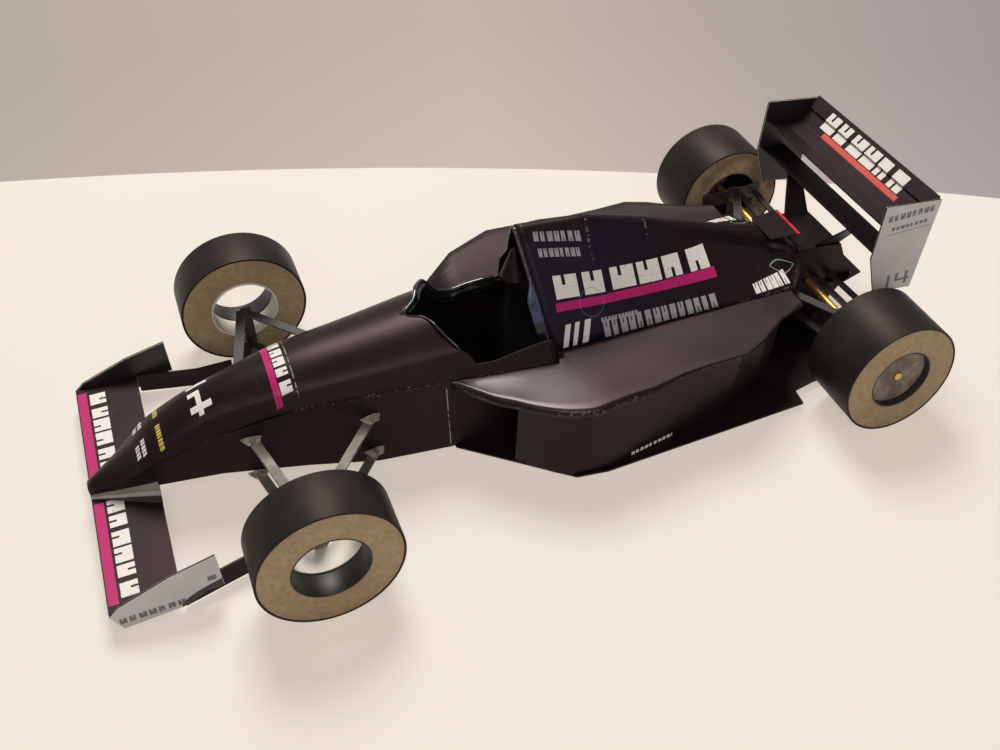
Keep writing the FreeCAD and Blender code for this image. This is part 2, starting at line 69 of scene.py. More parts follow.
FRONT_AXLE = middle("front_left_tread")
REAR_AXLE = middle("rear_left_tread")
POD_TOP_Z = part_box("sidepod_left")[1].z / MM
WHEEL_RADIUS = FRONT_AXLE.z

PAPER_SEED, TAB_SEED = 11, 5
noise.seed_set(PAPER_SEED)      # fixes how hand_made bends the paper

KEEL_CARD, TAPE = 0.2, 0.3      # thicknesses of sheet
ONE_CARD, DOUBLE_CARD = 0.42, 0.55      # the widest cut face that a sheet of one or two cards has
# upper shell: station, left half, right half, foot, top
COWL = [
    (38.4, 1.6, 1.6, 6.3, 7.5), (36.6, 2.3, 2.3, 7.2, 8.7), (32.7, 3.9, 3.9, 8.9, 11.1),
    (29.5, 5.1, 5.1, 10.7, 13.7), (25.6, 6.4, 6.4, 13.3, 17.3),
    (13.5, 7.1, 7.1, 16.8, 23.4), (-3.0, 9.7, 9.7, 20.4, 26.8), (-17.0, 11.5, 11.5, 20.5, 28.2),
    (-32.0, 13.6, 13.6, 20.5, 30.0), (-40.6, 15.2, 14.1, 20.5, 31.2), (-55.5, 17.3, 14.6, 20.5, 33.0),
]
TIP_FOOT = COWL[0][3]
SHOULDER = (0.80, 0.55)         # its shoulder, over the half width and over the height
SHOULDER_TURN = 0.4             # where that lies on the way from the foot, 0, to the crest, 1
SHELL_STEPS = 18
SHELL_BEND = (0.06, 16.0)       # how far and how slowly the paper wanders
# underside of the nose cone: station and height
KEEL = [(38.4, 5.44), (25.62, 7.92)]
KEEL_WIDTH = 0.82
ARM_TOP = 14.8                  # where the front uprights end
# cockpit opening: station and half width of its front edge
OPENING = [(-28.0, 0.0), (-31.2, 3.0), (-33.0, 7.2), (-35.2, 10.8), (-37.0, 12.0), (-38.8, 13.0)]
# the walls behind it: station and top
WALLS = {
    "left": [(-36.4, 27.0), (-38.8, 23.0), (-41.8, 22.9), (-52.0, 24.9), (-56.5, 25.2)],
    "right": [(-36.4, 27.0), (-38.8, 21.1), (-56.5, 21.1)],
}
# windscreen strip: its top edge, its path's ends behind the opening, and its rolled section
SCREEN_TOP = [(-27.5, 29.7), (-32.5, 30.4), (-35.5, 27.6), (-37.4, 24.6), (-39.4, 21.4), (-44.0, 21.2)]
SCREEN_START = -44.0
SCREEN_END = [(-42.0, -12.95), (-46.0, -13.2), (-49.5, -13.3), (-52.4, -13.3)]
SCREEN_GLUE, SCREEN_DROP = 0.12, 0.55       # off the opening's edge, and lower on the left
SCREEN_SECTION = [
    (0.42, -0.16), (0.34, 0.06), (0.18, 0.12), (0.04, 0.02), (0.0, -0.45), (-0.05, -0.85),
    (-0.50, -1.05), (-0.62, -1.25), (-0.40, -1.50), (-0.05, -1.80), (0.0, -2.4), (0.0, -3.5),
]
# engine cover: station, ridge height, ridge half width, ridge drop, base half width, base
COVER = [
    (-52.0, 44.7, 1.8, 1.8, 13.9, 20.52), (-68.0, 43.2, 1.8, 1.8, 14.4, 20.52),
    (-82.0, 38.8, 2.0, 2.0, 14.6, 20.52), (-97.0, 33.2, 2.4, 2.4, 15.1, 20.52),
    (-107.5, 28.8, 3.0, 2.6, 15.5, 20.52), (-113.4, 26.4, 3.8, 2.0, 15.7, 20.52),
    (-119.2, 24.4, 7.0, 0.6, 9.4, 19.0),
]
COVER_FACE = ((-53.0, 44.6), (-55.6, 20.5))     # its raked mouth: station and height, top and foot
COVER_CROWN = 0.35
COVER_BEND = (0.14, 11.0)
HOOP_INSET = 0.42
HOOP_RAKES = (0.9, 0.35, -0.3, -0.9, -1.5)
# sidepod's outline: station, half width, depth of the rolled lip
POD_TOP = [
    (-33.0, 13.9, 1.9), (-36.5, 18.4, 1.9), (-40.0, 22.4, 1.9), (-42.5, 24.4, 1.9),
    (-46.6, 28.0, 1.9), (-52.5, 31.6, 1.9), (-57.5, 33.0, 1.9), (-60.8, 32.7, 1.9),
    (-66.0, 32.3, 1.7), (-70.5, 32.2, 1.3), (-78.0, 30.6, 0.8), (-85.0, 30.2, 0.4),
    (-93.0, 30.4, 0.4), (-98.0, 28.2, 0.4), (-105.0, 23.7, 0.4), (-112.3, 21.0, 0.4),
    (-112.8, 19.8, 0.4),
]
POD_LEFT_ONLY = (-36.5, -40.0, -42.5, -52.5, -60.8)
POD_SMOOTH_END = -66.0
POD_MORE = [-74.0, -89.0, -101.5, -109.0]       # stations between its corners
POD_SAG, POD_BEND = 0.22, 1.1           # of its top, and the radius of its rolled lip
# sidepod's inner edge: station and half width
POD_INNER = [(-33.0, 13.66), (-57.0, 14.62), (-57.4, 13.1), (-68.0, 13.4), (-82.0, 13.6),
             (-97.0, 14.1), (-107.5, 14.5), (-112.8, 14.7)]
# side panel: foot station, foot half width, head station
PANEL = [(-43.0, 22.6, -43.5), (-53.0, 31.2, -53.5), (-61.0, 32.0, -60.5), (-75.8, 29.6, -75.0),
         (-84.0, 28.2, -84.0), (-99.0, 24.4, -100.0), (-104.0, 21.4, -105.5)]
PANEL_FOOT, PANEL_UNDER, PANEL_INSET = 1.74, 0.42, 0.6
PANEL_BENDS = 2                 # how many of its first stretches bend smoothly
# round pieces of the wheels: outer radius, wall and rounding
TREAD = (WHEEL_RADIUS, 0.45, 0.1)
RING = (WHEEL_RADIUS - 0.45, 5.9, 0.12)
BARREL = (7.4, 0.3, 0.08)
HUB = (7.1, 6.1, 0.08)
ROD = (0.9, 0.88, 0.15)
SLEEVE = (7.32, 0.3, 0.08)
RING_BOARD, RING_INSET, BARREL_INSET = 1.0, 0.06, 0.05
# folded glue tabs at the front arms' roots: station and height, then how they stand on the tub
ARM_ROOTS = [(6.6, 14.2), (-16.5, 14.2), (6.6, 4.6), (-16.5, 4.6)]
TUB_HALF, TUB_FLARE = 7.9, 0.155        # at the first root, and what it gains towards the rear
TAB_OUT, TAB_UP = 0.9, 0.95
TAB_TAPER, TAB_DROOP = 380.0, 0.30
# sheets' finishes: face, cut edge and fold
CARD_SHEET = ("plain_card", "cut_edge", "fold_card")
ARM_SHEET = ("arm_card", "cut_edge", "cut_edge")
ENDPLATE_SHEET = ("endplate_card", "pale_edge", "pale_edge")


# ---------------------------------------------------------------- numbers and curves
def at(station):
    """The X of a station."""
    return FRONT_AXLE.x + station


def straight_at(rows, station):
    """The row at a station on straight runs between a table's rows."""
    for first, second in zip(rows, rows[1:]):
        if first[0] >= station >= second[0]:
            share = (first[0] - station) / (first[0] - second[0])
            return tuple(p + share * (q - p) for p, q in zip(first, second))
    return rows[0] if station > rows[0][0] else rows[-1]


def smooth_at(rows, station):
    """The row at a station on a smooth curve through a table's rows."""
    if station >= rows[0][0] or station <= rows[-1][0]:
        return straight_at(rows, station)
    k = next(i for i in range(len(rows) - 1) if rows[i + 1][0] <= station)
    a, b = rows[k], rows[k + 1]
    gap = b[0] - a[0]
    share = (station - a[0]) / gap

    def slope(i, column):
        before, here, after = rows[max(i - 1, 0)], rows[i], rows[min(i + 1, len(rows) - 1)]
        if before is here or after is here:
            return (after[column] - before[column]) / (after[0] - before[0])
        first = (here[column] - before[column]) / (here[0] - before[0])
        second = (after[column] - here[column]) / (after[0] - here[0])
        return 0.0 if first * second <= 0 else 2 * first * second / (first + second)

    made = [station]
    for column in range(1, len(a)):
        m0, m1 = slope(k, column) * gap, slope(k + 1, column) * gap
        s2, s3 = share ** 2, share ** 3
        made.append((2 * s3 - 3 * s2 + 1) * a[column] + (s3 - 2 * s2 + share) * m0
                    + (3 * s2 - 2 * s3) * b[column] + (s3 - s2) * m1)
    return tuple(made)


def smooth_path(points, steps):
    """Points on a smooth curve through all of the given ones."""
    ends = [points[0] * 2 - points[1]] + points + [points[-1] * 2 - points[-2]]
    made = []
    for p0, p1, p2, p3 in zip(ends, ends[1:], ends[2:], ends[3:]):
        for k in range(steps):
            t = k / steps
            made.append(0.5 * (2 * p1 + (p2 - p0) * t + (2 * p0 - 5 * p1 + 4 * p2 - p3) * t ** 2
                               + (3 * p1 - p0 - 3 * p2 + p3) * t ** 3))
    return made + [points[-1]]


def spread(start, end, count):
    """Evenly spaced numbers from start to end."""
    return [start + (end - start) * k / (count - 1) for k in range(count)]


def blend(first, second, share):
    return first + (second - first) * share


def held(value):
    """The value, held between 0 and 1."""
    return min(max(value, 0.0), 1.0)


def hand_made(point, size, reach):
    """A small fixed bend of the paper at a point, so that no sheet is perfectly true."""
    return noise.noise_vector(point / reach) * size


# ---------------------------------------------------------------- meshes
def new_object(name, data):
    made = bpy.data.objects.new(name, data)
    bpy.context.scene.collection.objects.link(made)
    return made


def mesh_of(name, bm):
    mesh = bpy.data.meshes.new(name)
    bm.to_mesh(mesh)
    bm.free()
    return mesh


def fill_piece(name, mesh, papers, slot, *nodes, body="chassis"):
    """Makes a piece of a mesh in metres, parents it to its body's empty and hides the CAD nodes it
    replaces.
    """
    piece = new_object(name, mesh)
    mesh.materials.clear()
    for paper in finishes(*papers):
        mesh.materials.append(paper)
    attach(piece, body)
    if nodes:
        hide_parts(*nodes)
    return piece


def grid_mesh(name, grids, inside):
    """One open sheet of grids of points in millimetres, facing away from a point inside it."""
    bm = bmesh.new()
    for rows in grids:
        made = [[bm.verts.new(p * MM) for p in row] for row in rows]
        for first, second in zip(made, made[1:]):
            for k in range(len(first) - 1):
                bm.faces.new((first[k], first[k + 1], second[k + 1], second[k]))
    bmesh.ops.remove_doubles(bm, verts=bm.verts, dist=0.02 * MM)
    bmesh.ops.dissolve_degenerate(bm, edges=bm.edges, dist=0.002 * MM)
    for face in bm.faces:
        face.smooth = True
    bmesh.ops.recalc_face_normals(bm, faces=bm.faces)
    centre = Vector(inside) * MM
    votes = sum((face.calc_center_median() - centre).dot(face.normal) * face.calc_area()
                for face in bm.faces)
    if votes < 0:
        bmesh.ops.reverse_faces(bm, faces=bm.faces)
    return mesh_of(name, bm)


def shell_piece(name, mesh, papers, slot, *nodes, card=None):
    """A piece of an open sheet given its thickness inwards, with an inner side and cut edges."""
    piece = fill_piece(name, mesh, papers, slot, *nodes)
    wall = piece.modifiers.new("card", "SOLIDIFY")
    wall.thickness = card * MM if card else bpy.context.scene.card_sizes.card
    wall.offset = -1
    wall.use_even_offset = False
    wall.use_rim = True
    wall.material_offset = 1
    wall.material_offset_rim = 2
    return piece


def sharp_by_angle(mesh, degrees):
    """Smooth faces with creases wherever two of them meet at more than an angle."""
    bm = bmesh.new()
    bm.from_mesh(mesh)
    for face in bm.faces:
        face.smooth = True
    limit = math.radians(degrees)
    for edge in bm.edges:
        edge.smooth = len(edge.link_faces) == 2 and edge.calc_face_angle(0) < limit
    bm.to_mesh(mesh)
    bm.free()


def sheet_copy(node, thick):
    """A merged copy of a flat CAD sheet, its cut faces, as narrow as thick, in the second finish."""
    bm = bmesh.new()
    bm.from_mesh(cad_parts[node].data)
    bmesh.ops.remove_doubles(bm, verts=bm.verts, dist=0.001 * MM)
    bmesh.ops.dissolve_limit(bm, angle_limit=math.radians(0.5), verts=bm.verts, edges=bm.edges)
    for face in bm.faces:
        longest = max(edge.calc_length() for edge in face.edges)
        face.material_index = 1 if face.calc_area() / longest < thick * 1.15 * MM else 0
        face.smooth = False
    return mesh_of(node + "_sheet", bm)


def soften(piece, width, index):
    """Rounds a piece's folds a little; the fold itself takes its own finish."""
    bevel = piece.modifiers.new("fold", "BEVEL")
    bevel.width = width
    bevel.segments = 2
    bevel.limit_method = "ANGLE"
    bevel.angle_limit = math.radians(25)
    bevel.material = index
    bevel.harden_normals = True


def sheet_piece(node, papers=CARD_SHEET, slot="body_card", thick=DOUBLE_CARD, fold=None):
    """A card sheet in place of a flat CAD node, with its cut edges and folds."""
    piece = fill_piece(node + "_card", sheet_copy(node, thick), papers, slot, node)
    soften(piece, fold * MM if fold else bpy.context.scene.card_sizes.fold, len(papers) - 1)
    return piece


# ---------------------------------------------------------------- nodes
def maths(operation, turned=False):
    """A method of Value that adds one Math node, its operands turned round if asked."""
    def method(self, *others):
        operands = (*others, self) if turned else (self, *others)
        node = self.nodes.node("ShaderNodeMath", dict(enumerate(operands)), operation=operation)
        return Value(self.nodes, node.outputs[0])
    return method


class Value:
    """A number on a node's socket that Python arithmetic can be done with."""

    def __init__(self, nodes, socket):
        self.nodes = nodes
        self.socket = socket

    __add__, __radd__ = maths("ADD"), maths("ADD", True)
    __sub__, __rsub__ = maths("SUBTRACT"), maths("SUBTRACT", True)
    __mul__, __rmul__ = maths("MULTIPLY"), maths("MULTIPLY", True)
    __truediv__, __rtruediv__ = maths("DIVIDE"), maths("DIVIDE", True)
    __pow__, __abs__ = maths("POWER"), maths("ABSOLUTE")
    __lt__, __gt__ = maths("LESS_THAN"), maths("GREATER_THAN")
    floor, fract, top, low = maths("FLOOR"), maths("FRACT"), maths("MAXIMUM"), maths("MINIMUM")

    def between(self, first, second):
        return (self > first) * (self < second)

    def rise(self, start, end):
        """0 at start and 1 at end, with soft ends."""
        node = self.nodes.node("ShaderNodeMapRange", {"Value": self, "From Min": start, "From Max": end},
                               interpolation_type="SMOOTHSTEP")
        return Value(self.nodes, node.outputs["Result"])


class Nodes:
    """A node tree and the one method that adds to it."""

    def __init__(self, tree):
        self.tree = tree

    def node(self, kind, inputs=None, **settings):
        """Adds a node: its settings first, then a value or a link for each input."""
        made = self.tree.nodes.new(kind)
        for key, value in settings.items():
            if key == "stops":
                stops = made.color_ramp.elements
                for place, _ in value[1:-1]:
                    stops.new(place)
                for stop, (_, colour) in zip(stops, value):
                    stop.color = colour
            else:
                setattr(made, key, value)
        for key, value in (inputs or {}).items():
            value = getattr(value, "socket", value)
            if isinstance(value, bpy.types.Node):
                value = value.outputs[0]
            if isinstance(value, bpy.types.NodeSocket):
                self.tree.links.new(value, made.inputs[key])
            else:
                made.inputs[key].default_value = value
        return made

    def split(self, vector):
        """The three numbers of a vector."""
        return [Value(self, number) for number in self.node("ShaderNodeSeparateXYZ", {0: vector}).outputs]

    def looks(self):
        """1 for the rays that show the pale room: straight, mirrored or through glass."""
        rays = self.node("ShaderNodeLightPath").outputs
        return sum(Value(self, rays["Is %s Ray" % kind]) for kind in ("Camera", "Glossy", "Transmission"))


# ---------------------------------------------------------------- geometry nodes
def new_tree(name, *inputs):
    """A geometry tree with named inputs: name, kind of socket, default and lowest value."""
    n = Nodes(bpy.data.node_groups.new(name, "GeometryNodeTree"))
    n.tree.interface.new_socket("Geometry", in_out="OUTPUT", socket_type="NodeSocketGeometry")
    for label, kind, *limits in inputs:
        item = n.tree.interface.new_socket(label, in_out="INPUT", socket_type="NodeSocket" + kind)
        for key, value in zip(("default_value", "min_value"), limits):
            setattr(item, key, value)
    return n, n.node("NodeGroupInput").outputs


def close_tree(n, shape, material):
    """Ends a tree as plain geometry in one finish."""
    real = n.node("GeometryNodeRealizeInstances", {0: shape})
    paint = n.node("GeometryNodeSetMaterial", {"Geometry": real, "Material": material})
    n.node("NodeGroupOutput", {0: paint})
    return n.tree


def evaluated(tree, values, name):
    """The plain mesh that a tree makes from named values."""
    holder = new_object(name, bpy.data.meshes.new(name + "_seed"))
    modifier = holder.modifiers.new("grow", "NODES")
    modifier.node_group = tree
    for item in tree.interface.items_tree:
        if item.item_type == "SOCKET" and item.in_out == "INPUT" and item.name in values:
            modifier[item.identifier] = values[item.name]
    graph = bpy.context.evaluated_depsgraph_get()
    mesh = bpy.data.meshes.new_from_object(holder.evaluated_get(graph), depsgraph=graph)
    holder.modifiers.remove(modifier)
    bpy.data.objects.remove(holder)
    return mesh


def round_band_tree():
    """A round band or disc about the Y axis: a rounded flat profile carried round a circle."""
    n, given = new_tree(
        "round_band", ("Outer radius", "Float", 0.014, 0.0), ("Wall", "Float", 0.001, 0.0),
        ("Width", "Float", 0.01, 0.0), ("Rounding", "Float", 0.0001, 0.0),
        ("Segments", "Int", 96, 8), ("Centre", "Vector", (0.0, 0.0, 0.0)), ("Finish", "Material"))
    radius = Value(n, given["Outer radius"]) - Value(n, given["Wall"]) * 0.5
    circle = n.node("GeometryNodeCurvePrimitiveCircle",
                    {"Resolution": given["Segments"], "Radius": radius})
    profile = n.node("GeometryNodeCurvePrimitiveQuadrilateral",
                     {"Width": given["Wall"], "Height": given["Width"]})
    rounded = n.node("GeometryNodeFilletCurve",
                     {"Curve": profile, "Radius": given["Rounding"], "Count": 3}, mode="POLY")
    solid = n.node("GeometryNodeCurveToMesh", {"Curve": circle, "Profile Curve": rounded})
    place = n.node("GeometryNodeTransform",
                   {"Geometry": solid, "Translation": given["Centre"], "Rotation": (math.pi / 2, 0, 0)})
    return close_tree(n, place, given["Finish"])


def tab_tree():
    """Glue tabs, one on each point of an object: flaps that taper and droop outwards."""
    n, given = new_tree(
        "glue_tabs", ("Roots", "Object"), ("Length", "Float", 0.0034, 0.0),
        ("Reach", "Float", 0.0016, 0.0), ("Board", "Float", 0.0004, 0.0),
        ("Spread", "Float", 0.25, 0.0), ("Seed", "Int", 5, 0), ("Finish", "Material"))
    size = n.node("ShaderNodeCombineXYZ", {0: given["Length"], 1: given["Reach"], 2: given["Board"]})
    flap = n.node("GeometryNodeMeshCube", {"Size": size, "Vertices X": 4, "Vertices Y": 3})
    x, y, _ = n.split(n.node("GeometryNodeInputPosition"))
    shift = n.node("ShaderNodeCombineXYZ", {0: x * y * -TAB_TAPER, 2: y * -TAB_DROOP})
    bent = n.node("GeometryNodeSetPosition", {"Geometry": flap, "Offset": shift})
    roots = n.node("GeometryNodeObjectInfo", {"Object": given["Roots"]}, transform_space="ORIGINAL")
    dots = n.node("GeometryNodeMeshToPoints", {"Mesh": roots.outputs["Geometry"]})
    jitter = n.node("FunctionNodeRandomValue", {3: given["Spread"], "Seed": given["Seed"]},
                    data_type="FLOAT")
    turn = n.node("ShaderNodeCombineXYZ", {2: jitter.outputs[1]})
    each = n.node("GeometryNodeInstanceOnPoints", {"Points": dots, "Instance": bent, "Rotation": turn})
    return close_tree(n, each, given["Finish"])


# ---------------------------------------------------------------- finishes
CARD_GLOSS = {"Specular IOR Level": 0.19, "Specular Tint": (1.0, 0.70, 0.74, 1.0)}
MATT_GLOSS = {"Specular IOR Level": 0.12, "Specular Tint": (1.0, 0.76, 0.70, 1.0)}
TREAD_INK = (0.0187, 0.0156, 0.0146)
# BLACK is the painted shade in the tub's slots over the arms
SPECK, SCUFF, BLACK = (0.42, 0.38, 0.36), (0.36, 0.32, 0.30), (0.004, 0.004, 0.004)


def shade(ink, level):
    """An ink made lighter or darker."""
    return [c * level for c in ink]


class Finish(Nodes):
    """One material, built up from paper colour to shader."""

    def __init__(self, name):
        self.material = bpy.data.materials.new(name)
        self.material.use_nodes = True
        super().__init__(self.material.node_tree)
        self.tree.nodes.clear()
        self.inks = bpy.context.scene.card_colours
        self.coordinates = self.node("ShaderNodeTexCoord").outputs["Object"]
        self.x, self.y, self.z = (number / MM for number in self.split(self.coordinates))
        self.station = self.x - FRONT_AXLE.x

    @property
    def behind(self):
        """The distance behind the front axle."""
        return -1 * self.station

    def noise(self, size, detail=3.0, stretch=(1, 1, 1), rough=0.55):
        """Noise from 0 to 1 whose features measure about size millimetres."""
        vector = self.coordinates
        if stretch != (1, 1, 1):
            vector = self.node("ShaderNodeMapping", {"Vector": vector, "Scale": stretch})
        made = self.node("ShaderNodeTexNoise", {"Vector": vector, "Scale": 1 / (size * MM),
                                                "Detail": detail, "Roughness": rough})
        return Value(self, made.outputs["Fac"])

    def chance(self, number):
        """A fixed random value for each whole number."""
        made = self.node("ShaderNodeTexWhiteNoise", {"W": number}, noise_dimensions="1D")
        return Value(self, made.outputs["Value"])

    def mix(self, share, *colours):
        """Between two colours, each a socket or three numbers."""
        first, second = (c if isinstance(c, bpy.types.NodeSocket) else (*c[:3], 1.0) for c in colours)
        made = self.node("ShaderNodeMix", {"Factor": share, 6: first, 7: second}, data_type="RGBA")
        return made.outputs[2]

    def bump(self, height, depth, before=None):
        inputs = {"Height": height, "Distance": depth * MM, "Strength": 1.0}
        if before is not None:
            inputs["Normal"] = before
        return self.node("ShaderNodeBump", inputs).outputs["Normal"]

    def body(self, level=1.0, light=1.6, dots=0.5, ink=None):
        """Printed dark card: ink with soft blotches, fine fibre and a few pale specks."""
        ink = shade(ink or self.inks.card, level)
        self.blotch = self.noise(7.0)
        self.fibre = self.noise(0.35, 4.0, rough=0.7)
        colour = self.mix((self.blotch * 0.6 + self.fibre * 0.4).rise(0.35, 0.68),
                          shade(ink, 0.8), shade(ink, light))
        speck = self.noise(0.55, 1.0).rise(0.80, 0.83) * self.noise(12.0, 1.0).rise(0.48, 0.58)
        return self.mix(speck * dots, colour, SPECK)

    def rough(self, base=0.40):
        """Roughness that follows the card's fibre and blotches."""
        return self.fibre * 0.10 + self.blotch * 0.10 + (base - 0.10)

    def relief(self, depth=0.012, sway=0.10):
        """Fibre relief on a very slightly wavy sheet."""
        return self.bump(self.fibre, depth, self.bump(self.noise(16.0, 1.0), sway))

    def scuffed(self, colour, place, share, ink, start=0.56, end=0.66, size=0.7):
        """Wears the ink off in small spots at a place."""
        return self.mix(place * self.noise(size).rise(start, end) * share, colour, ink)

    def done(self, colour, roughness, normal=None, **constants):
        """Ends a finish with its shader."""
        inputs = {"Base Color": colour, "Roughness": roughness, **constants}
        if normal is not None:
            inputs["Normal"] = normal
        shader = self.node("ShaderNodeBsdfPrincipled", inputs)
        self.node("ShaderNodeOutputMaterial", {"Surface": shader})
        return self.material

    def card(self, colour, base=0.40, sway=0.10, gloss=CARD_GLOSS):
        """Ends a finish as printed card."""
        return self.done(colour, self.rough(base), self.relief(sway=sway), **gloss)


MAKERS, FINISHES = {}, {}


def maker(make):
    """Lists a function as the maker of the finish that it is named for."""
    MAKERS[make.__name__] = make
    return make


def finishes(*names):
    """Finishes by name, each made the first time it is asked for."""
    for name in names:
        if name not in FINISHES:
            FINISHES[name] = MAKERS[name](Finish(name))
    return [FINISHES[name] for name in names]


def any_of(*masks):
    """1 where any of some masks is."""
    return reduce(Value.top, masks)


def boxes(first, second, rows):
    """1 inside any of some boxes: from and to on the first measure, then on the second."""
    return any_of(*(first.between(a, b) * second.between(c, d) for a, b, c, d in rows))


def block_row(f, along, across, count, fill=0.74, notched=True):
    """A row of plain printed blocks of uneven widths, along and across both from 0 to 1."""
    place = along * count
    cell = place.floor()
    share = place.fract()
    wide = f.chance(cell) * 0.22 + fill - 0.12
    inside = (share < wide) * across.between(0.0, 1.0) * along.between(0.0, 1.0)
    if not notched:
        return inside
    pick = f.chance(cell + 7.0)
    level = (pick > 0.4) - 9.0 * (pick > 0.8)
    notch = share.between(0.28, 0.40) * (abs(across - level) < 0.42)
    return inside * (1 - notch)


def marks(f, first, second, rows):
    """Rows of blocks from a table, on two measures: along the rows and up them."""
    made = []
    for start, length, foot, fall, height, taper, count, fill, notched in rows:
        along = first - start
        across = second - foot + along * fall if fall else second - foot
        across = across / (height - along * taper if taper else height)
        made.append(block_row(f, along / length, across, count, fill, notched))
    return any_of(*made)


def white_and_stripe(f, colour, white, stripe):
    """Prints the stripe and then the white marks, both worn off in small spots."""
    worn = 1 - f.noise(0.5, 2.0).rise(0.62, 0.75) * 0.6
    colour = f.mix(stripe * worn, colour, f.inks.stripe)
    return f.mix(white * worn, colour, f.inks.print)


@maker
def plain_card(f):
    """Body card with nothing printed on its ink."""
    return f.card(f.body())


# the plain number 14, as boxes across and along the shell, and across and up an endplate
NOSE_NUMBER = [(-3.6, -2.4, 12.2, 16.4), (2.6, 3.8, 12.2, 16.4), (-0.8, 4.6, 14.0, 15.0),
               (-0.8, 0.4, 14.0, 16.4)]
ENDPLATE_NUMBER = [(-3.1, -2.3, 21.4, 25.0), (1.7, 2.5, 21.4, 25.0), (-0.9, 3.1, 22.6, 23.2),
                   (-0.9, -0.1, 22.6, 25.0)]
# rows of blocks: start, length, foot, fall, height, taper, count, fill, notched
NOSE_WHITE = [(-8.4, 16.8, -2.9, 0, 2.3, 0, 6.0, 0.74, True)]
NOSE_SMALL = [(1.6, 3.4, 26.0, 0, 0.8, 0, 5.0, 0.75, False),
              (1.9, 2.6, 27.2, 0, 0.8, 0, 4.0, 0.75, False)]
NOSE_YELLOW = [(1.2, 4.6, 22.6, 0, 0.9, 0, 8.0, 0.7, False)]
COVER_WHITE = [(58.3, 38.5, 30.1, 0.087013, 4.4, 0.025974, 6.0, 0.80, True),
               (104.2, 9.4, 21.1, 0, 1.3, 0, 6.0, 0.82, True)]
COVER_GREY = [(56.0, 10.6, 41.4, 0.22, 1.9, 0, 7.0, 0.7, True),
              (56.4, 9.4, 38.4, 0.20, 1.6, 0, 8.0, 0.7, True),
              (67.1, 8.7, 23.9, 0.06, 0.8, 0, 11.0, 0.7, False),
              (67.3, 27.6, 20.9, 0, 3.2, 0.04, 14.0, 0.7, True)]
POD_DASHES = [(66.0, 12.5, 1.9, 0, 1.0, 0, 11.0, 0.7, False)]
WING_WHITE = [(3.8, 25.6, 32.6, 0, 3.2, 0, 6.0, 0.80, True)]
FLAP_WHITE = [(-16.2, 32.0, 137.8, 0, 3.4, 0, 6.0, 0.80, True)]
ENDPLATE_GREY = [(-37.0, 12.0, 2.0, 0, 1.5, 0, 7.0, 0.72, True),
                 (128.6, 12.4, 40.2, 0, 1.6, 0, 8.0, 0.7, True),
                 (130.0, 9.6, 37.6, 0, 0.9, 0, 8.0, 0.7, False)]


@maker
def nose_card(f):
    """Upper shell: stripe and blocks round the nose, a plain racing number and small marks."""
    colour = f.body()
    s, side = f.station, abs(f.y)
    white = any_of(marks(f, f.y, s, NOSE_WHITE), boxes(f.y, s, NOSE_NUMBER),
                   marks(f, side, s, NOSE_SMALL))
    colour = white_and_stripe(f, colour, white, s.between(-0.4, 0.9) * (side < 8.6))
    colour = f.mix(marks(f, side, s, NOSE_YELLOW), colour, (0.62, 0.52, 0.10))
    joint = (abs(s + 3.6) < 0.09) * f.noise(1.2, 2.0).rise(0.42, 0.6)
    seam = (f.z - (20.6 + (s + 3.0).top(0.0) * -0.22)).between(-0.2, 0.25) * (s < -1.0)
    worn = joint.top(seam * f.noise(0.8).rise(0.56, 0.66) * 0.25)
    colour = f.mix(worn, colour, (0.40, 0.36, 0.34))
    step = f.bump(1 - (abs(s + 3.9) < 0.12), 0.05, f.relief())
    return f.done(colour, f.rough(0.36), step, **CARD_GLOSS)


@maker
def cover_card(f):
    """Engine cover: stripe under a row of blocks, thin outlines, navy towards the front."""
    colour = f.body(light=1.4)
    z, behind = f.z, f.behind
    navy = behind.rise(96.0, 66.0) * z.rise(43.0, 40.0)
    colour = f.mix(navy * 0.85, colour, (0.005, 0.0055, 0.018))
    under = (behind - 57.8) / 38.6
    stripe = (abs(z - (28.65 - 2.7 * under)) < 0.82) * under.between(0.0, 1.0)
    slant = (behind - 57.6 - (z - 20.8) * 0.35) / 6.6
    bars = block_row(f, slant, (z - 20.9) / 4.2, 3.0, 0.55, False)
    white = marks(f, behind, z, COVER_WHITE).top(bars)
    colour = white_and_stripe(f, colour, white, stripe)
    colour = f.mix(marks(f, behind, z, COVER_GREY) * 0.72, colour, (0.50, 0.47, 0.52))
    first, second = behind - 65.8, z - 28.0
    ring = abs((first * first + second * second) ** 0.5 - 2.7) < 0.07
    colour = f.mix(ring * 0.5, colour, (0.20, 0.22, 0.24))
    along = (behind - 113.9) / 3.3
    lens = abs(abs(z - (23.2 - (behind - 110.6) * 0.21)) - 0.6 * (1 - along * along)) < 0.06
    colour = f.mix(lens * (abs(along) < 1.0) * 0.8, colour, (0.20, 0.34, 0.26))
    ridge = (abs(behind - 68.0) < 0.35).top(abs(behind - 82.0) < 0.25) * z.rise(34.0, 37.0)
    worn = (ridge * 0.5).top((z < 20.85) * 0.2)
    colour = f.scuffed(colour, worn, 1.0, (0.34, 0.30, 0.30), 0.50, 0.62)
    return f.card(colour, 0.38, 0.16)


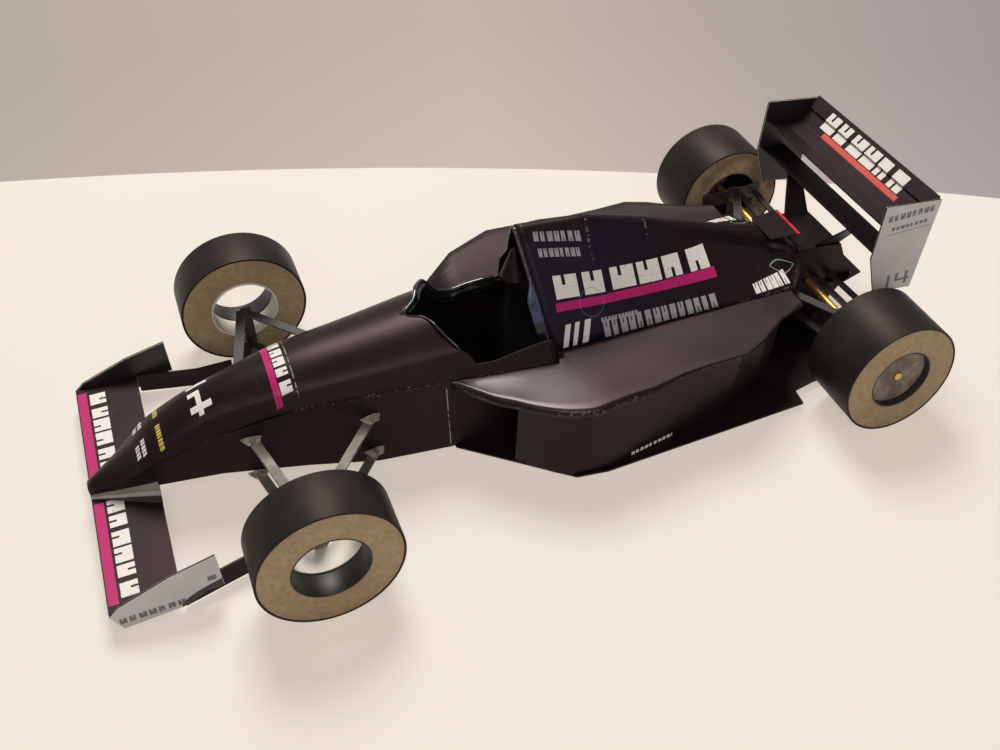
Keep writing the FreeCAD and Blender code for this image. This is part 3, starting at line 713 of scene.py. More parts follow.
@maker
def pod_card(f):
    """Sidepod top and side: scuffed lips, a row of dashes low down, varnish in front on the left."""
    colour = f.body(1.1)
    behind = f.behind
    dashes = marks(f, behind, f.z, POD_DASHES) * (abs(f.y) > 25.0) * (behind < 76.5)
    colour = f.mix(dashes, colour, f.inks.print)
    lip = f.z.between(18.9, 20.15) * (behind < 100.0) * f.noise(5.0, 2.0).rise(0.38, 0.6)
    colour = f.scuffed(colour, lip, 0.4, SCUFF, 0.54, 0.66, 0.6)
    front = behind.rise(64.0, 46.0)
    varnish = front * (f.y > 0.0) * f.z.rise(19.7, 20.4)
    return f.done(colour, f.rough() - front * 0.10, f.relief(sway=0.22), **CARD_GLOSS,
                  **{"Coat Weight": varnish * 0.55, "Coat Roughness": 0.34})


@maker
def tub_card(f):
    """Tray sides: dark card with a pale joint line, and painted shade in black where the slots over the
    arms open into the tub.
    """
    colour = f.body(0.9)
    s = f.station
    line = (abs(s + 32.0) < 0.10) * f.z.between(2.7, 18.6) * f.noise(2.0, 1.0).rise(0.3, 0.5)
    colour = f.mix(line * 0.8, colour, (0.42, 0.37, 0.32))
    # painted shade: black where the slots over the arms would show the dark inside of the tub
    slot = (abs(s - 7.4).low(abs(s + 15.6)) < 2.4) * f.z.between(15.0, 16.0)
    colour = f.mix(slot, colour, BLACK)
    return f.card(f.scuffed(colour, f.z > 20.0, 0.3, (0.34, 0.30, 0.28)), 0.46)


@maker
def wing_card(f):
    """Front wing: stripe along the leading edge and blocks behind it, clear of the nose."""
    colour = f.body(1.15, 1.3)
    s, side, over = f.station, abs(f.y), f.z > 4.9
    stripe = boxes(s, side, [(36.3, 38.15, 3.8, 29.6)])
    white = marks(f, side, s, WING_WHITE)
    return f.card(white_and_stripe(f, colour, white * over, stripe * over), 0.42)


@maker
def flap_card(f):
    """Rear wing: stripe and blocks across the middle of its raised rear part."""
    colour = f.body(1.15, 1.3)
    behind, upper = f.behind, f.z > 38.0
    stripe = boxes(behind, f.y, [(136.4, 137.6, -13.6, 15.8)])
    colour = f.mix(stripe * upper, colour, (0.66, 0.10, 0.08))
    colour = f.mix(marks(f, f.y, behind, FLAP_WHITE) * upper, colour, f.inks.print)
    return f.card(colour, 0.44)


@maker
def endplate_card(f):
    """Endplates: pale grey outside with small generic marks, dark inside."""
    _, normal_y, _ = f.split(f.node("ShaderNodeNewGeometry").outputs["Normal"])
    outward = (normal_y * f.y / 30.0) > 0.1
    f.fibre = f.noise(0.35, 4.0, rough=0.7)
    pale = f.mix(f.noise(6.0).rise(0.35, 0.7), shade(f.inks.endplate, 0.93), f.inks.endplate)
    s, z, behind = f.station, f.z, f.behind
    way = (behind - 134.7) * ((f.y > 0.0) * 2 - 1)
    line = (abs(z - 36.7) < 0.09) * behind.between(129.0, 140.4)
    dark = any_of(boxes(s, z, [(19.2, 20.8, 6.0, 7.3)]), marks(f, behind, z, ENDPLATE_GREY), line,
                  boxes(way, z, ENDPLATE_NUMBER))
    colour = f.mix(dark * 0.8, pale, (0.03, 0.028, 0.04))
    curve = ((26.2 - s).top(0.0) / 8.0) ** 0.5 * 4.4 + 1.4
    corner = s.between(0.0, 26.2) * (z < curve)
    colour = f.mix(corner, colour, (0.014, 0.012, 0.016))
    inner = f.mix(f.fibre, shade(f.inks.card, 0.6), shade(f.inks.card, 1.1))
    return f.done(f.mix(outward, inner, colour), f.fibre * 0.12 + 0.42, f.relief())


@maker
def cut_edge(f):
    """The raw cut edge of printed card, where the pale core shows."""
    fibre = f.noise(0.25)
    worn = f.noise(3.0, 2.0).rise(0.35, 0.65)
    colour = f.mix(worn * 0.8 + fibre * 0.1, (0.031, 0.026, 0.026), (0.211, 0.186, 0.167))
    return f.done(colour, 0.75, f.bump(fibre, 0.03))


@maker
def pale_edge(f):
    """Cut edge of the leading card, almost white."""
    fibre = f.noise(0.25)
    colour = f.mix(fibre, (0.46, 0.41, 0.34), (0.78, 0.73, 0.62))
    return f.done(colour, 0.8, f.bump(fibre, 0.03))


@maker
def fold_card(f):
    """A fold where the ink has cracked off in places."""
    crack = f.noise(0.7, 4.0, rough=0.7)
    open_crack = crack.rise(0.52, 0.64) * f.noise(6.0, 2.0).rise(0.40, 0.62)
    colour = f.mix(open_crack * 0.45, shade(f.inks.card, 1.3), SCUFF)
    return f.done(colour, 0.5, f.bump(crack, 0.02), **CARD_GLOSS)


@maker
def tread_paper(f):
    """Wrapped tyre paper: smooth satin black with fine fibre that runs round."""
    colour = f.body(light=1.35, dots=0.3, ink=TREAD_INK)
    across = f.noise(5.0, 2.0, (1, 0.15, 1))
    rough = f.fibre * 0.08 + f.blotch * 0.08 + across * 0.06 + 0.34
    return f.done(colour, rough, f.relief(0.010, 0.06), **MATT_GLOSS)


@maker
def greyboard(f):
    """Raw board: fibrous and speckled, darker brown on the right rear wheel, partly a glue stain and
    partly painted shade.
    """
    fibre = f.noise(0.28, 5.0, rough=0.75)
    clump = f.noise(1.1, 4.0)
    base = f.inks.board
    colour = f.mix((clump * 0.5 + fibre * 0.5).rise(0.36, 0.66), shade(base, 0.70), base)
    colour = f.mix(f.noise(6.0).rise(0.5, 0.72) * 0.35, colour, shade(base, 0.62))
    # partly glue stain, partly painted shade: darker brown on the right rear wheel's board
    glue = (f.station < -110.0) * (f.y < 0.0) * f.noise(7.0, 2.0).rise(0.36, 0.58)
    colour = f.mix(glue * 0.7, colour, (0.09, 0.06, 0.035))
    colour = f.mix(f.noise(0.45, 2.0).rise(0.68, 0.72) * 0.5, colour, (0.10, 0.08, 0.06))
    return f.done(colour, 0.85, f.bump(fibre, 0.05, f.bump(clump, 0.05)))


@maker
def gloss_tape(f):
    """Glossy black strip with long soft waves that break its reflections."""
    wave = f.noise(6.0, 2.0, (1, 1, 0.4))
    scratch = f.noise(0.5, 3.0, (0.2, 0.2, 1))
    colour = f.mix(wave, (0.004, 0.004, 0.006), (0.014, 0.014, 0.020))
    return f.done(colour, scratch * 0.10 + 0.06, f.bump(wave, 0.25), IOR=1.7)


@maker
def hoop_tape(f):
    """The strip round the cover's mouth, with a painted blue highlight on its lower ends."""
    wave = f.noise(3.0, 2.0)
    # painted highlight: blue on the strip's lower ends
    low = f.z.rise(34.5, 31.5) * f.z.rise(26.0, 27.2)
    colour = f.mix(low * wave.rise(0.25, 0.5), (0.006, 0.006, 0.009), (0.034, 0.0612, 0.136))
    return f.done(colour, wave * 0.1 + 0.14, f.bump(wave, 0.15), IOR=1.6)


@maker
def arm_card(f):
    """Suspension strips: black card, with painted light making the front ones on the left a lit grey."""
    fibre = f.noise(0.3, 4.0, rough=0.7)
    # painted light: the front arms on the left get a lit grey, the rear ones and those on the right stay
    # black card
    pale = f.mix(f.noise(3.5).rise(0.3, 0.7), (0.104, 0.087, 0.0754), (0.267, 0.238, 0.203))
    colour = f.mix((f.station < -60.0).top(f.y < 0.0), pale, (0.0104, 0.00812, 0.00812))
    return f.done(colour, fibre * 0.1 + 0.5, f.bump(fibre, 0.03))


@maker
def tab_card(f):
    """Folded glue tabs, light where the ink has rubbed off, each with a small printed ring."""
    fibre = f.noise(0.3, 4.0, rough=0.7)
    colour = f.mix(f.noise(1.4).rise(0.34, 0.60), (0.139, 0.122, 0.11), (0.452, 0.406, 0.348))
    away = reduce(Value.low, (abs(f.station - root) for root, _ in ARM_ROOTS[:2]))
    colour = f.mix(away.between(0.12, 0.38) * 0.6, colour, (0.03, 0.025, 0.025))
    return f.done(colour, 0.6, f.bump(fibre, 0.03))


@maker
def ledge_paper(f):
    """The wing's centre piece: pale along its top, with a painted shadow in black on its side below a
    slanted line.
    """
    fibre = f.noise(0.35, 4.0, rough=0.7)
    colour = f.mix(f.noise(5.0).rise(0.35, 0.65), (0.356, 0.324, 0.292), (0.443, 0.41, 0.367))
    # painted shadow: black on the side below a slanted line
    dark = (f.z - 5.1 + (f.station - 38.4) * 0.135) < 0.0
    colour = f.mix(dark * 0.96, colour, (0.010, 0.008, 0.008))
    return f.done(colour, fibre * 0.1 + 0.5, f.bump(fibre, 0.02))


@maker
def floor_card(f):
    """Flat underside plate: lighter satin card."""
    return f.card(f.body(1.2, 1.5), 0.42, 0.14)


@maker
def tail_card(f):
    """The plate at the back of the cover, its rear edge marked red."""
    colour = f.body(0.6)
    red = (f.behind > 120.0) * f.noise(0.8, 2.0).rise(0.3, 0.45)
    return f.card(f.mix(red, colour, (0.60, 0.02, 0.03)), 0.6, gloss=MATT_GLOSS)


@maker
def foil(f):
    """Thin rod with a warm amber metal look."""
    streak = f.noise(0.6, 3.0, (1, 0.1, 1))
    colour = f.mix(streak, (0.62, 0.33, 0.06), (0.95, 0.62, 0.20))
    return f.done(colour, streak * 0.2 + 0.22, f.bump(streak, 0.02), Metallic=0.85)


@maker
def hub_board(f):
    """Board disc set back in the rear wheel, blotched in two browns."""
    fibre = f.noise(0.3, 5.0, rough=0.75)
    colour = f.mix(f.noise(4.0).rise(0.35, 0.65), (0.124, 0.0899, 0.0713), (0.26, 0.211, 0.174))
    return f.done(colour, fibre * 0.15 + 0.6, f.bump(fibre, 0.04))


def two_tone(fibre_size, tint, first, second, rough, depth, **gloss):
    """A plain paper of two blotched colours with fibre relief."""
    def make(f):
        fibre = f.noise(fibre_size, 4.0, rough=0.7)
        colour = f.mix(f.noise(*tint), first, second)
        return f.done(colour, fibre * 0.1 + rough, f.bump(fibre, depth), **gloss)
    return make


MAKERS.update(
    inner_card=two_tone(0.4, (8.0, 2.0), (0.0036, 0.003, 0.0036), (0.0096, 0.0072, 0.0078), 0.5, 0.012,
                        **CARD_GLOSS),
    barrel_paper=two_tone(0.35, (3.0, 2.0, (1, 0.2, 1)), (0.0072, 0.006, 0.0072),
                          (0.021, 0.018, 0.0204), 0.40, 0.012),
    bare_paper=two_tone(0.4, (5.0, 2.0), (0.66, 0.61, 0.54), (0.80, 0.77, 0.71), 0.72, 0.02),
)


# ---------------------------------------------------------------- nose and monocoque shapes
def shell_point(row, sign, turn):
    """A point of the upper shell on one side, from its foot at 0 to the crest at 1."""
    station, left, right, foot, top = row
    half = left if sign > 0 else right
    shoulder, rise = half * SHOULDER[0], foot + (top - foot) * SHOULDER[1]
    if turn < SHOULDER_TURN:
        share = turn / SHOULDER_TURN
        y, z = blend(half, shoulder, share), blend(foot, rise, share)
    else:
        radius = (shoulder ** 2 + (top - rise) ** 2) / (2 * (top - rise))
        angle = math.asin(min(shoulder / radius, 1.0)) * (1 - turn) / (1 - SHOULDER_TURN)
        y, z = radius * math.sin(angle), top - radius * (1 - math.cos(angle))
    return Vector((at(station), sign * y, z))


def opening_edge():
    """Points round the front of the cockpit opening, from its left to its right side."""
    side = [Vector((s, y, 0)) for s, y in reversed(OPENING)]
    return smooth_path(side + [Vector((p.x, -p.y, 0)) for p in reversed(side[:-1])], 6)


def shell_limit(row, side, sign, edge):
    """How far up the upper shell reaches on one side, to the opening or the wall's top."""
    station = row[0]
    if station > OPENING[0][0]:
        return 1.0
    half = straight_at([(p.x, p.y) for p in reversed(edge) if p.y >= -1e-6], station)[1]
    wall = WALLS[side]
    ceiling = straight_at(wall, station)[1] if station < wall[0][0] else math.inf
    for turn in spread(0.0, 1.0, 241):
        point = shell_point(row, sign, turn)
        if abs(point.y) <= half or point.z >= ceiling:
            return turn
    return 1.0


def cowl_mesh():
    """Upper shell of nose and cockpit, closed by a blunt tip."""
    edge = opening_edge()
    stations = spread(COWL[0][0], 25.6, 12) + spread(24.6, OPENING[0][0], 34)
    stations += spread(OPENING[0][0] - 0.4, -40.0, 30) + spread(-41.0, COWL[-1][0], 10)
    steps = range(SHELL_STEPS + 1)
    grids = []
    for side, sign in SIDES:
        rows = []
        for station in stations:
            row = smooth_at(COWL, station)
            limit = shell_limit(row, side, sign, edge)
            line = [shell_point(row, sign, limit * k / SHELL_STEPS) for k in steps]
            rows.append([point + hand_made(point, *SHELL_BEND) for point in line])
        grids.append(rows)
    over = [shell_point(COWL[0], 1, k / SHELL_STEPS) for k in steps]
    over += [shell_point(COWL[0], -1, k / SHELL_STEPS) for k in reversed(steps[:-1])]
    grids.append([[Vector((p.x + 0.25 * (1 - share), p.y * share, blend(TIP_FOOT, p.z, share)))
                   + hand_made(p, *SHELL_BEND) for p in over] for share in (1.0, 0.6, 0.0)])
    return grid_mesh("cowl", grids, (at(-10), 0, 18))


def keel_mesh():
    """Straight sides and underside of the nose cone, folded below the upper shell's edge."""
    rows = []
    for station in spread(KEEL[1][0], KEEL[0][0], 10):
        _, half, _, foot, _ = smooth_at(COWL, station)
        under = straight_at(KEEL, station)[1]
        points = [(blend(half - 0.02, half * KEEL_WIDTH, t), blend(foot, under, t))
                  for t in spread(0.0, 1.0, 5)]
        rows.append([Vector((at(station), y, z)) for y, z in points]
                    + [Vector((at(station), -y, z)) for y, z in reversed(points)])
    end = [Vector((p.x + 0.2, p.y * 0.3, p.z)) for p in rows[-1]]
    mesh = grid_mesh("keel", [rows + [end]], (at(30), 0, 9))
    sharp_by_angle(mesh, 30)
    return mesh


def aside(path, k):
    """A unit step across a level path at one of its points, to its right."""
    along = (path[min(k + 1, len(path) - 1)] - path[max(k - 1, 0)]).normalized()
    return Vector((along.y, -along.x, 0))


def screen_mesh():
    """Glossy strip inside the opening's edge, rolled and creased on the right side only."""
    edge = opening_edge()
    path = [Vector((SCREEN_START, edge[0].y - SCREEN_GLUE, 0))]
    path += [point + aside(edge, k) * SCREEN_GLUE for k, point in enumerate(edge)]
    path += [Vector((*end, 0)) for end in SCREEN_END]
    rows = []
    for out, down in SCREEN_SECTION:
        row = []
        for k, point in enumerate(path):
            top = straight_at(SCREEN_TOP, point.x)[1] + (0.5 if point.x < -42.0 and point.y < 0 else 0.0)
            roll = held(-point.y / 4.0)
            place = Vector((at(point.x), point.y, top - SCREEN_DROP * (1 - roll)))
            place.z += down if down < -0.3 else down * roll
            place -= aside(path, k) * out * roll
            row.append(place + hand_made(place, 0.10 * roll, 5.0))
        rows.append(row)
    return grid_mesh("windscreen", [rows], (at(-40), 0, 26))


# ---------------------------------------------------------------- engine cover shapes
def cover_ring(station, inset=0.0, sides=12, rake=None):
    """Points of the cover's section from the left foot over the ridge to the right foot.

    With a rake, the section is raked as the cover's mouth is, that far ahead of it.
    """
    def place(share, arc):
        s = station
        for _ in range(3 if rake is not None else 1):
            _, ridge, ridge_half, drop, half, base = straight_at(COVER, s)
            half, top_half = half - inset, ridge_half - inset
            if arc is None:
                y, z = blend(half, top_half, share), base + (ridge - drop - base) * share
                y += COVER_CROWN * math.sin(math.pi * share)
            else:
                y = top_half * math.cos(arc)
                z = ridge - drop + (drop - inset) * math.sin(arc)
            if rake is None:
                break
            (top_s, top_z), (foot_s, foot_z) = COVER_FACE
            s = foot_s + (top_s - foot_s) * (z - foot_z) / (top_z - foot_z) + rake
        return Vector((at(s), y, z))

    left = [place(share, None) for share in spread(0.0, 1.0, sides + 1)[:-1]]
    over = [place(1.0, arc) for arc in spread(0.0, math.pi, 11)]
    return left + over + [Vector((p.x, -p.y, p.z)) for p in reversed(left)]


def cover_mesh():
    """Engine cover from its raked mouth to its low tail."""
    mouth, tail = COVER_FACE[0][0], COVER[-1][0]
    rows = [cover_ring(mouth, rake=0.0), cover_ring(mouth, rake=-1.5)]
    stations = spread(-60.0, tail, 38) + [row[0] for row in COVER[1:-1]]
    rows += [cover_ring(s) for s in sorted(set(stations), reverse=True)]
    for row in rows[1:]:
        for point in row:
            point += hand_made(point, *COVER_BEND)
    rows.append([Vector((p.x - 0.02, p.y * 0.5, 19.5 + (p.z - 19.5) * 0.5)) for p in rows[-1]])
    return grid_mesh("engine_cover", [rows], (at(-80), 0, 22))


def hoop_mesh():
    """The strip that lines the cover's mouth, its lower ends leaning forward."""
    rows = []
    for rake in HOOP_RAKES:
        ring = [p for p in cover_ring(COVER_FACE[0][0], HOOP_INSET, 24, rake) if p.z > 22.0]
        for point in ring:
            low = held((34.0 - point.z) / 3.0)
            point.x += 1.5 * low * (rake + 1.5) / 2.4
            point.y *= 1.0 - 0.01 * low
        rows.append(ring)
    count = min(len(row) for row in rows)
    rows = [row[(len(row) - count) // 2:][:count] for row in rows]
    return grid_mesh("roll_hoop", [rows], (at(-54), 0, 28))


# ---------------------------------------------------------------- sidepod shapes
def pod_corners(sign):
    """The corners that the outline has on one side."""
    return [row for row in POD_TOP if sign > 0 or row[0] not in POD_LEFT_ONLY]


def pod_row(station, sign):
    """The outline bends smoothly on the left and is folded at a few corners on the right."""
    smooth = sign > 0 and station > POD_SMOOTH_END
    return (smooth_at if smooth else straight_at)(pod_corners(sign), station)


def pod_top_mesh(sign):
    """A sidepod's level top with its outer lip rolled down."""
    stations = [row[0] for row in pod_corners(sign)] + POD_MORE
    if sign > 0:
        stations += spread(POD_TOP[0][0], POD_SMOOTH_END, 34)
    rows = []
    for station in sorted(set(stations), reverse=True):
        _, half, lip = pod_row(station, sign)
        inner = straight_at(POD_INNER, station)[1]
        bend = min(POD_BEND, lip * 0.7, max(half - inner, 0.05) * 0.5)
        row = []
        for share in spread(0.0, 1.0, 10):
            sag = POD_SAG * math.sin(math.pi * share) * min(1.0, (half - inner) / 12.0)
            row.append((blend(inner, half - bend, share), POD_TOP_Z - sag))
        for turn in spread(0.0, math.pi / 2, 5)[1:]:
            row.append((half - bend + bend * math.sin(turn), POD_TOP_Z - bend + bend * math.cos(turn)))
        row.append((half, POD_TOP_Z - max(lip, bend + 0.05)))
        rows.append([Vector((at(station), y * sign, z)) for y, z in row])
    return grid_mesh("pod_top", [rows], (at(-70), sign * 20, 0))


def panel_mesh(sign):
    """A sidepod's side panel, bent smoothly in front and folded behind."""
    head_z = POD_TOP_Z - PANEL_UNDER
    feet = [(foot_s, foot_y) for foot_s, foot_y, _ in PANEL]
    rows = []
    for stop in spread(0.0, PANEL_BENDS, 17) + spread(2.5, 6.0, 8):
        k = min(int(stop), len(PANEL) - 2)
        foot_s, foot_y, head_s = (blend(a, b, stop - k) for a, b in zip(PANEL[k], PANEL[k + 1]))
        if stop <= PANEL_BENDS:
            foot_y = smooth_at(feet, foot_s)[1]
        head_y = pod_row(head_s, sign)[1] - PANEL_INSET
        rows.append([Vector((at(blend(foot_s, head_s, t)), sign * blend(foot_y, head_y, t),
                             blend(PANEL_FOOT, head_z, t))) for t in spread(0.0, 1.0, 7)])
    mesh = grid_mesh("pod_panel", [rows], (at(-70), sign * 16, 10))
    sharp_by_angle(mesh, 9)
    return mesh


# ---------------------------------------------------------------- settings
def length_setting(name, description, default):
    return bpy.props.FloatProperty(name=name, description=description, default=default, unit="LENGTH")


def ink_setting(name, description, default):
    return bpy.props.FloatVectorProperty(
        name=name, description=description, default=default, size=3, subtype="COLOR")


def power_setting(name, description, default):
    return bpy.props.FloatProperty(
        name=name, description=description, default=default, min=0.0, unit="POWER")


class CardSizes(bpy.types.PropertyGroup):
    card: length_setting("Card", "Thickness of one folded card", 0.0004)
    fold: length_setting("Fold rounding", "Width of a rounded fold or edge", 0.00007)
    tab_length: length_setting("Tab length", "Length of a glue tab along the car", 0.0034)
    tab_reach: length_setting("Tab reach", "How far a glue tab stands off the body", 0.0017)
    segments: bpy.props.IntProperty(
        name="Wheel segments", description="Facets round each wheel's bands", default=112, min=24)


class CardColours(bpy.types.PropertyGroup):
    card: ink_setting("Card", "Ink on the body card", (0.0068, 0.0038, 0.0048))
    stripe: ink_setting("Stripe", "Printed stripe", (0.47, 0.02, 0.15))
    print: ink_setting("Print", "Printed blocks and number", (0.78, 0.75, 0.72))
    endplate: ink_setting("Endplates", "Outside of the wings' endplates", (0.56, 0.53, 0.53))
    board: ink_setting("Greyboard", "Raw board of the wheels' sides", (0.42, 0.30, 0.165))


class StageSettings(bpy.types.PropertyGroup):
    lamp: power_setting("Lamp", "Power of the large soft lamp", 10.9)
    fill: power_setting("Fill", "Power of the weaker lamp on the left side", 4.5)
    lens: bpy.props.FloatProperty(
        name="Lens", description="Focal length of the camera", default=41.89, subtype="DISTANCE_CAMERA")


# ---------------------------------------------------------------- operators
class RACER_OT_nose(bpy.types.Operator):
    """Build the nose cone and the long upper shell behind it"""
    bl_idname = "racer.nose"
    bl_label = "Nose"

    def execute(self, context):
        shell_piece("nose_keel", keel_mesh(), ("tub_card", "inner_card", "cut_edge"), "body_card",
                    "nose_cone", card=KEEL_CARD)
        shell_piece("nose_shell", cowl_mesh(), ("nose_card", "inner_card", "plain_card"), "body_card",
                    "nose_top", "nose_cone")
        return {"FINISHED"}


class RACER_OT_tub(bpy.types.Operator):
    """Fold the lower tray"""
    bl_idname = "racer.tub"
    bl_label = "Tub"

    def execute(self, context):
        sheet_piece("tub", ("tub_card", "cut_edge", "fold_card"), thick=ONE_CARD, fold=0.06)
        return {"FINISHED"}


class RACER_OT_cockpit(bpy.types.Operator):
    """Make the windscreen strip, the seat back and the headrest"""
    bl_idname = "racer.cockpit"
    bl_label = "Cockpit"

    def execute(self, context):
        shell_piece("screen_strip", screen_mesh(), ("gloss_tape",) * 3, "gloss_tape", "windscreen",
                    card=TAPE)
        sheet_piece("seat_back", ("inner_card", "cut_edge", "fold_card"), fold=0.10)
        mesh = sheet_copy("headrest", 0.0)
        sharp_by_angle(mesh, 40)
        fill_piece("headrest_cone", mesh, ("plain_card",), "head_paper", "headrest")
        return {"FINISHED"}


class RACER_OT_cover(bpy.types.Operator):
    """Roll the engine cover and the glossy strip in its mouth"""
    bl_idname = "racer.cover"
    bl_label = "Engine cover"

    def execute(self, context):
        shell_piece("cover_shell", cover_mesh(), ("cover_card", "inner_card", "fold_card"), "body_card",
                    "engine_cover")
        shell_piece("hoop_strip", hoop_mesh(), ("hoop_tape", "gloss_tape", "gloss_tape"), "gloss_tape",
                    "roll_hoop", card=TAPE)
        return {"FINISHED"}


class RACER_OT_pods(bpy.types.Operator):
    """Make the sidepods' tops with rolled lips and their folded side panels"""
    bl_idname = "racer.pods"
    bl_label = "Sidepods"

    def execute(self, context):
        for side, sign in SIDES:
            for name, mesh, edge in (("pod_top_", pod_top_mesh(sign), "fold_card"),
                                     ("pod_panel_", panel_mesh(sign), "cut_edge")):
                shell_piece(name + side, mesh, ("pod_card", "inner_card", edge), "body_card",
                            "sidepod_" + side)
        return {"FINISHED"}


class RACER_OT_floor(bpy.types.Operator):
    """Cut the floor, the gearbox block and the tail's plates"""
    bl_idname = "racer.floor"
    bl_label = "Floor and tail"

    def execute(self, context):
        sheet_piece("floor", ("floor_card", "cut_edge", "fold_card"), fold=0.06)
        sheet_piece("gearbox", thick=0.0, fold=0.12)
        sheet_piece("tail_flange")
        sheet_piece("tail_plate", ("tail_card", "cut_edge", "fold_card"))
        return {"FINISHED"}


class RACER_OT_front_wing(bpy.types.Operator):
    """Cut the front wing, its endplates and vanes and the ledge under the nose"""
    bl_idname = "racer.front_wing"
    bl_label = "Front wing"

    def execute(self, context):
        sheet_piece("front_wing", ("wing_card", "pale_edge", "cut_edge"))
        sheet_piece("front_ledge", ("ledge_paper", "cut_edge", "ledge_paper"), "ledge_paper", 0.3)
        for side, _ in SIDES:
            sheet_piece("front_endplate_" + side, ENDPLATE_SHEET, "endplate_paper")
            sheet_piece("front_vane_" + side)
        return {"FINISHED"}


class RACER_OT_rear_wing(bpy.types.Operator):
    """Fold the rear wing's sheets, its endplates and its posts"""
    bl_idname = "racer.rear_wing"
    bl_label = "Rear wing"

    def execute(self, context):
        for part in ("main", "flap", "lower"):
            sheet_piece("rear_wing_" + part, ("flap_card", "cut_edge", "fold_card"))
        for side, _ in SIDES:
            sheet_piece("rear_endplate_" + side, ENDPLATE_SHEET, "endplate_paper")
            sheet_piece("rear_post_" + side)
        return {"FINISHED"}


class RACER_OT_wheels(bpy.types.Operator):
    """Roll the tyres, their board sides, barrels, hubs and fixed sleeves"""
    bl_idname = "racer.wheels"
    bl_label = "Wheels"

    def execute(self, context):
        tree = round_band_tree()
        segments = context.scene.card_sizes.segments

        def round_piece(name, node, paper, section, axis, spans, body="chassis", slot=None):
            """A piece of bands round an axle, each between two places across the car."""
            radius, wall, rounding = section
            bm = bmesh.new()
            for low, high in spans:
                bm.from_mesh(evaluated(tree, {
                    "Outer radius": radius * MM, "Wall": wall * MM, "Width": abs(high - low) * MM,
                    "Rounding": rounding * MM, "Segments": segments,
                    "Centre": (axis.x * MM, (low + high) / 2 * MM, axis.z * MM),
                    "Finish": finishes(paper)[0]}, "band"))
            bmesh.ops.remove_doubles(bm, verts=bm.verts, dist=0.0005 * MM)
            bmesh.ops.recalc_face_normals(bm, faces=bm.faces)
            mesh = mesh_of(name, bm)
            sharp_by_angle(mesh, 35)
            fill_piece(name, mesh, (paper,), slot or paper, node, body=body)

        def across(node):
            """Where a CAD node starts and ends across the car."""
            return [corner.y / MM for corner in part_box(node)]

        for axle, axis in (("front", FRONT_AXLE), ("rear", REAR_AXLE)):
            for side, _ in SIDES:
                stem = "%s_%s_" % (axle, side)
                body = stem + "wheel"
                low, high = across(stem + "tread")
                round_piece(stem + "tyre_band", stem + "tread", "tread_paper", TREAD, axis,
                            [(low, high)], body)
                rings = [(low + RING_INSET, low + RING_BOARD), (high - RING_BOARD, high - RING_INSET)]
                round_piece(stem + "side_rings", stem + "rings", "greyboard", RING, axis, rings, body)
                low, high = across(stem + "barrel")
                round_piece(stem + "barrel_roll", stem + "barrel", "barrel_paper", BARREL, axis,
                            [(low + BARREL_INSET, high - BARREL_INSET)], body)
                if axle == "rear":
                    round_piece(stem + "hub_disc", stem + "hub", "hub_board", HUB, axis,
                                [across(stem + "hub")], body)
                    round_piece("rear_rod_" + side, "rear_shaft_" + side, "foil", ROD, axis,
                                [across("rear_shaft_" + side)], slot="shaft_foil")
                else:
                    round_piece("front_roll_" + side, "front_sleeve_" + side, "bare_paper", SLEEVE, axis,
                                [across("front_sleeve_" + side)])
        return {"FINISHED"}


class RACER_OT_arms(bpy.types.Operator):
    """Cut the suspension strips and uprights"""
    bl_idname = "racer.arms"
    bl_label = "Suspension"

    def execute(self, context):
        names = ["%s_wishbone_%s_" % (axle, level)
                 for axle in ("front", "rear") for level in ("upper", "lower")]
        for side, _ in SIDES:
            for name in names + ["rear_links_", "front_upright_", "rear_upright_"]:
                strip = sheet_piece(name + side, ARM_SHEET, "arm_card")
                if name == "front_upright_":
                    for vertex in strip.data.vertices:
                        vertex.co.z = min(vertex.co.z, ARM_TOP * MM)
        return {"FINISHED"}


class RACER_OT_tabs(bpy.types.Operator):
    """Fold the glue tabs that hold the front arms to the tub"""
    bl_idname = "racer.tabs"
    bl_label = "Glue tabs"

    def execute(self, context):
        sizes = context.scene.card_sizes
        tree = tab_tree()
        front = ARM_ROOTS[0][0]
        places = [(at(station) * MM, (TUB_HALF + (front - station) * TUB_FLARE + TAB_OUT) * MM,
                   (z + TAB_UP) * MM) for station, z in ARM_ROOTS]
        for side, sign in SIDES:
            dots = bpy.data.meshes.new("roots")
            dots.from_pydata(places, [], [])
            holder = new_object("roots", dots)
            mesh = evaluated(tree, {"Roots": holder, "Length": sizes.tab_length, "Reach": sizes.tab_reach,
                                    "Board": sizes.card, "Seed": TAB_SEED,
                                    "Finish": finishes("tab_card")[0]}, "tabs")
            bpy.data.objects.remove(holder)
            if sign < 0:
                mesh.transform(Matrix.Diagonal((1, -1, 1, 1)))
                mesh.flip_normals()
            soften(fill_piece("arm_tabs_" + side, mesh, ("tab_card",), "arm_card"), 0.05 * MM, 0)
        return {"FINISHED"}


# colours across the wall behind the table
WALL = [(0.0, (0.386, 0.335, 0.327, 1)), (0.5, (0.575, 0.485, 0.430, 1)),
        (1.0, (0.479, 0.418, 0.367, 1))]
# lamps: place, width, setting for the power, colour
LAMPS = {
    "soft_lamp": ((-0.12, -0.52, 0.84), 0.48, "lamp", (1.0, 0.95, 0.89)),
    "near_lamp": ((0.20, 0.75, 0.68), 0.80, "fill", (1.0, 0.96, 0.91)),
}
LAMP_TARGET = Vector((0, 0, 0.02))
CAMERA_TURN = (-115.28, -37.82, 1.43)           # yaw, pitch and roll in degrees
CAMERA_PLACE = (66.26, 180.89, 184.16)
CAMERA_FRAME = {"sensor_width": 36.0, "shift_x": -0.0948, "shift_y": -0.1097, "clip_start": 0.01,
                "clip_end": 20.0}


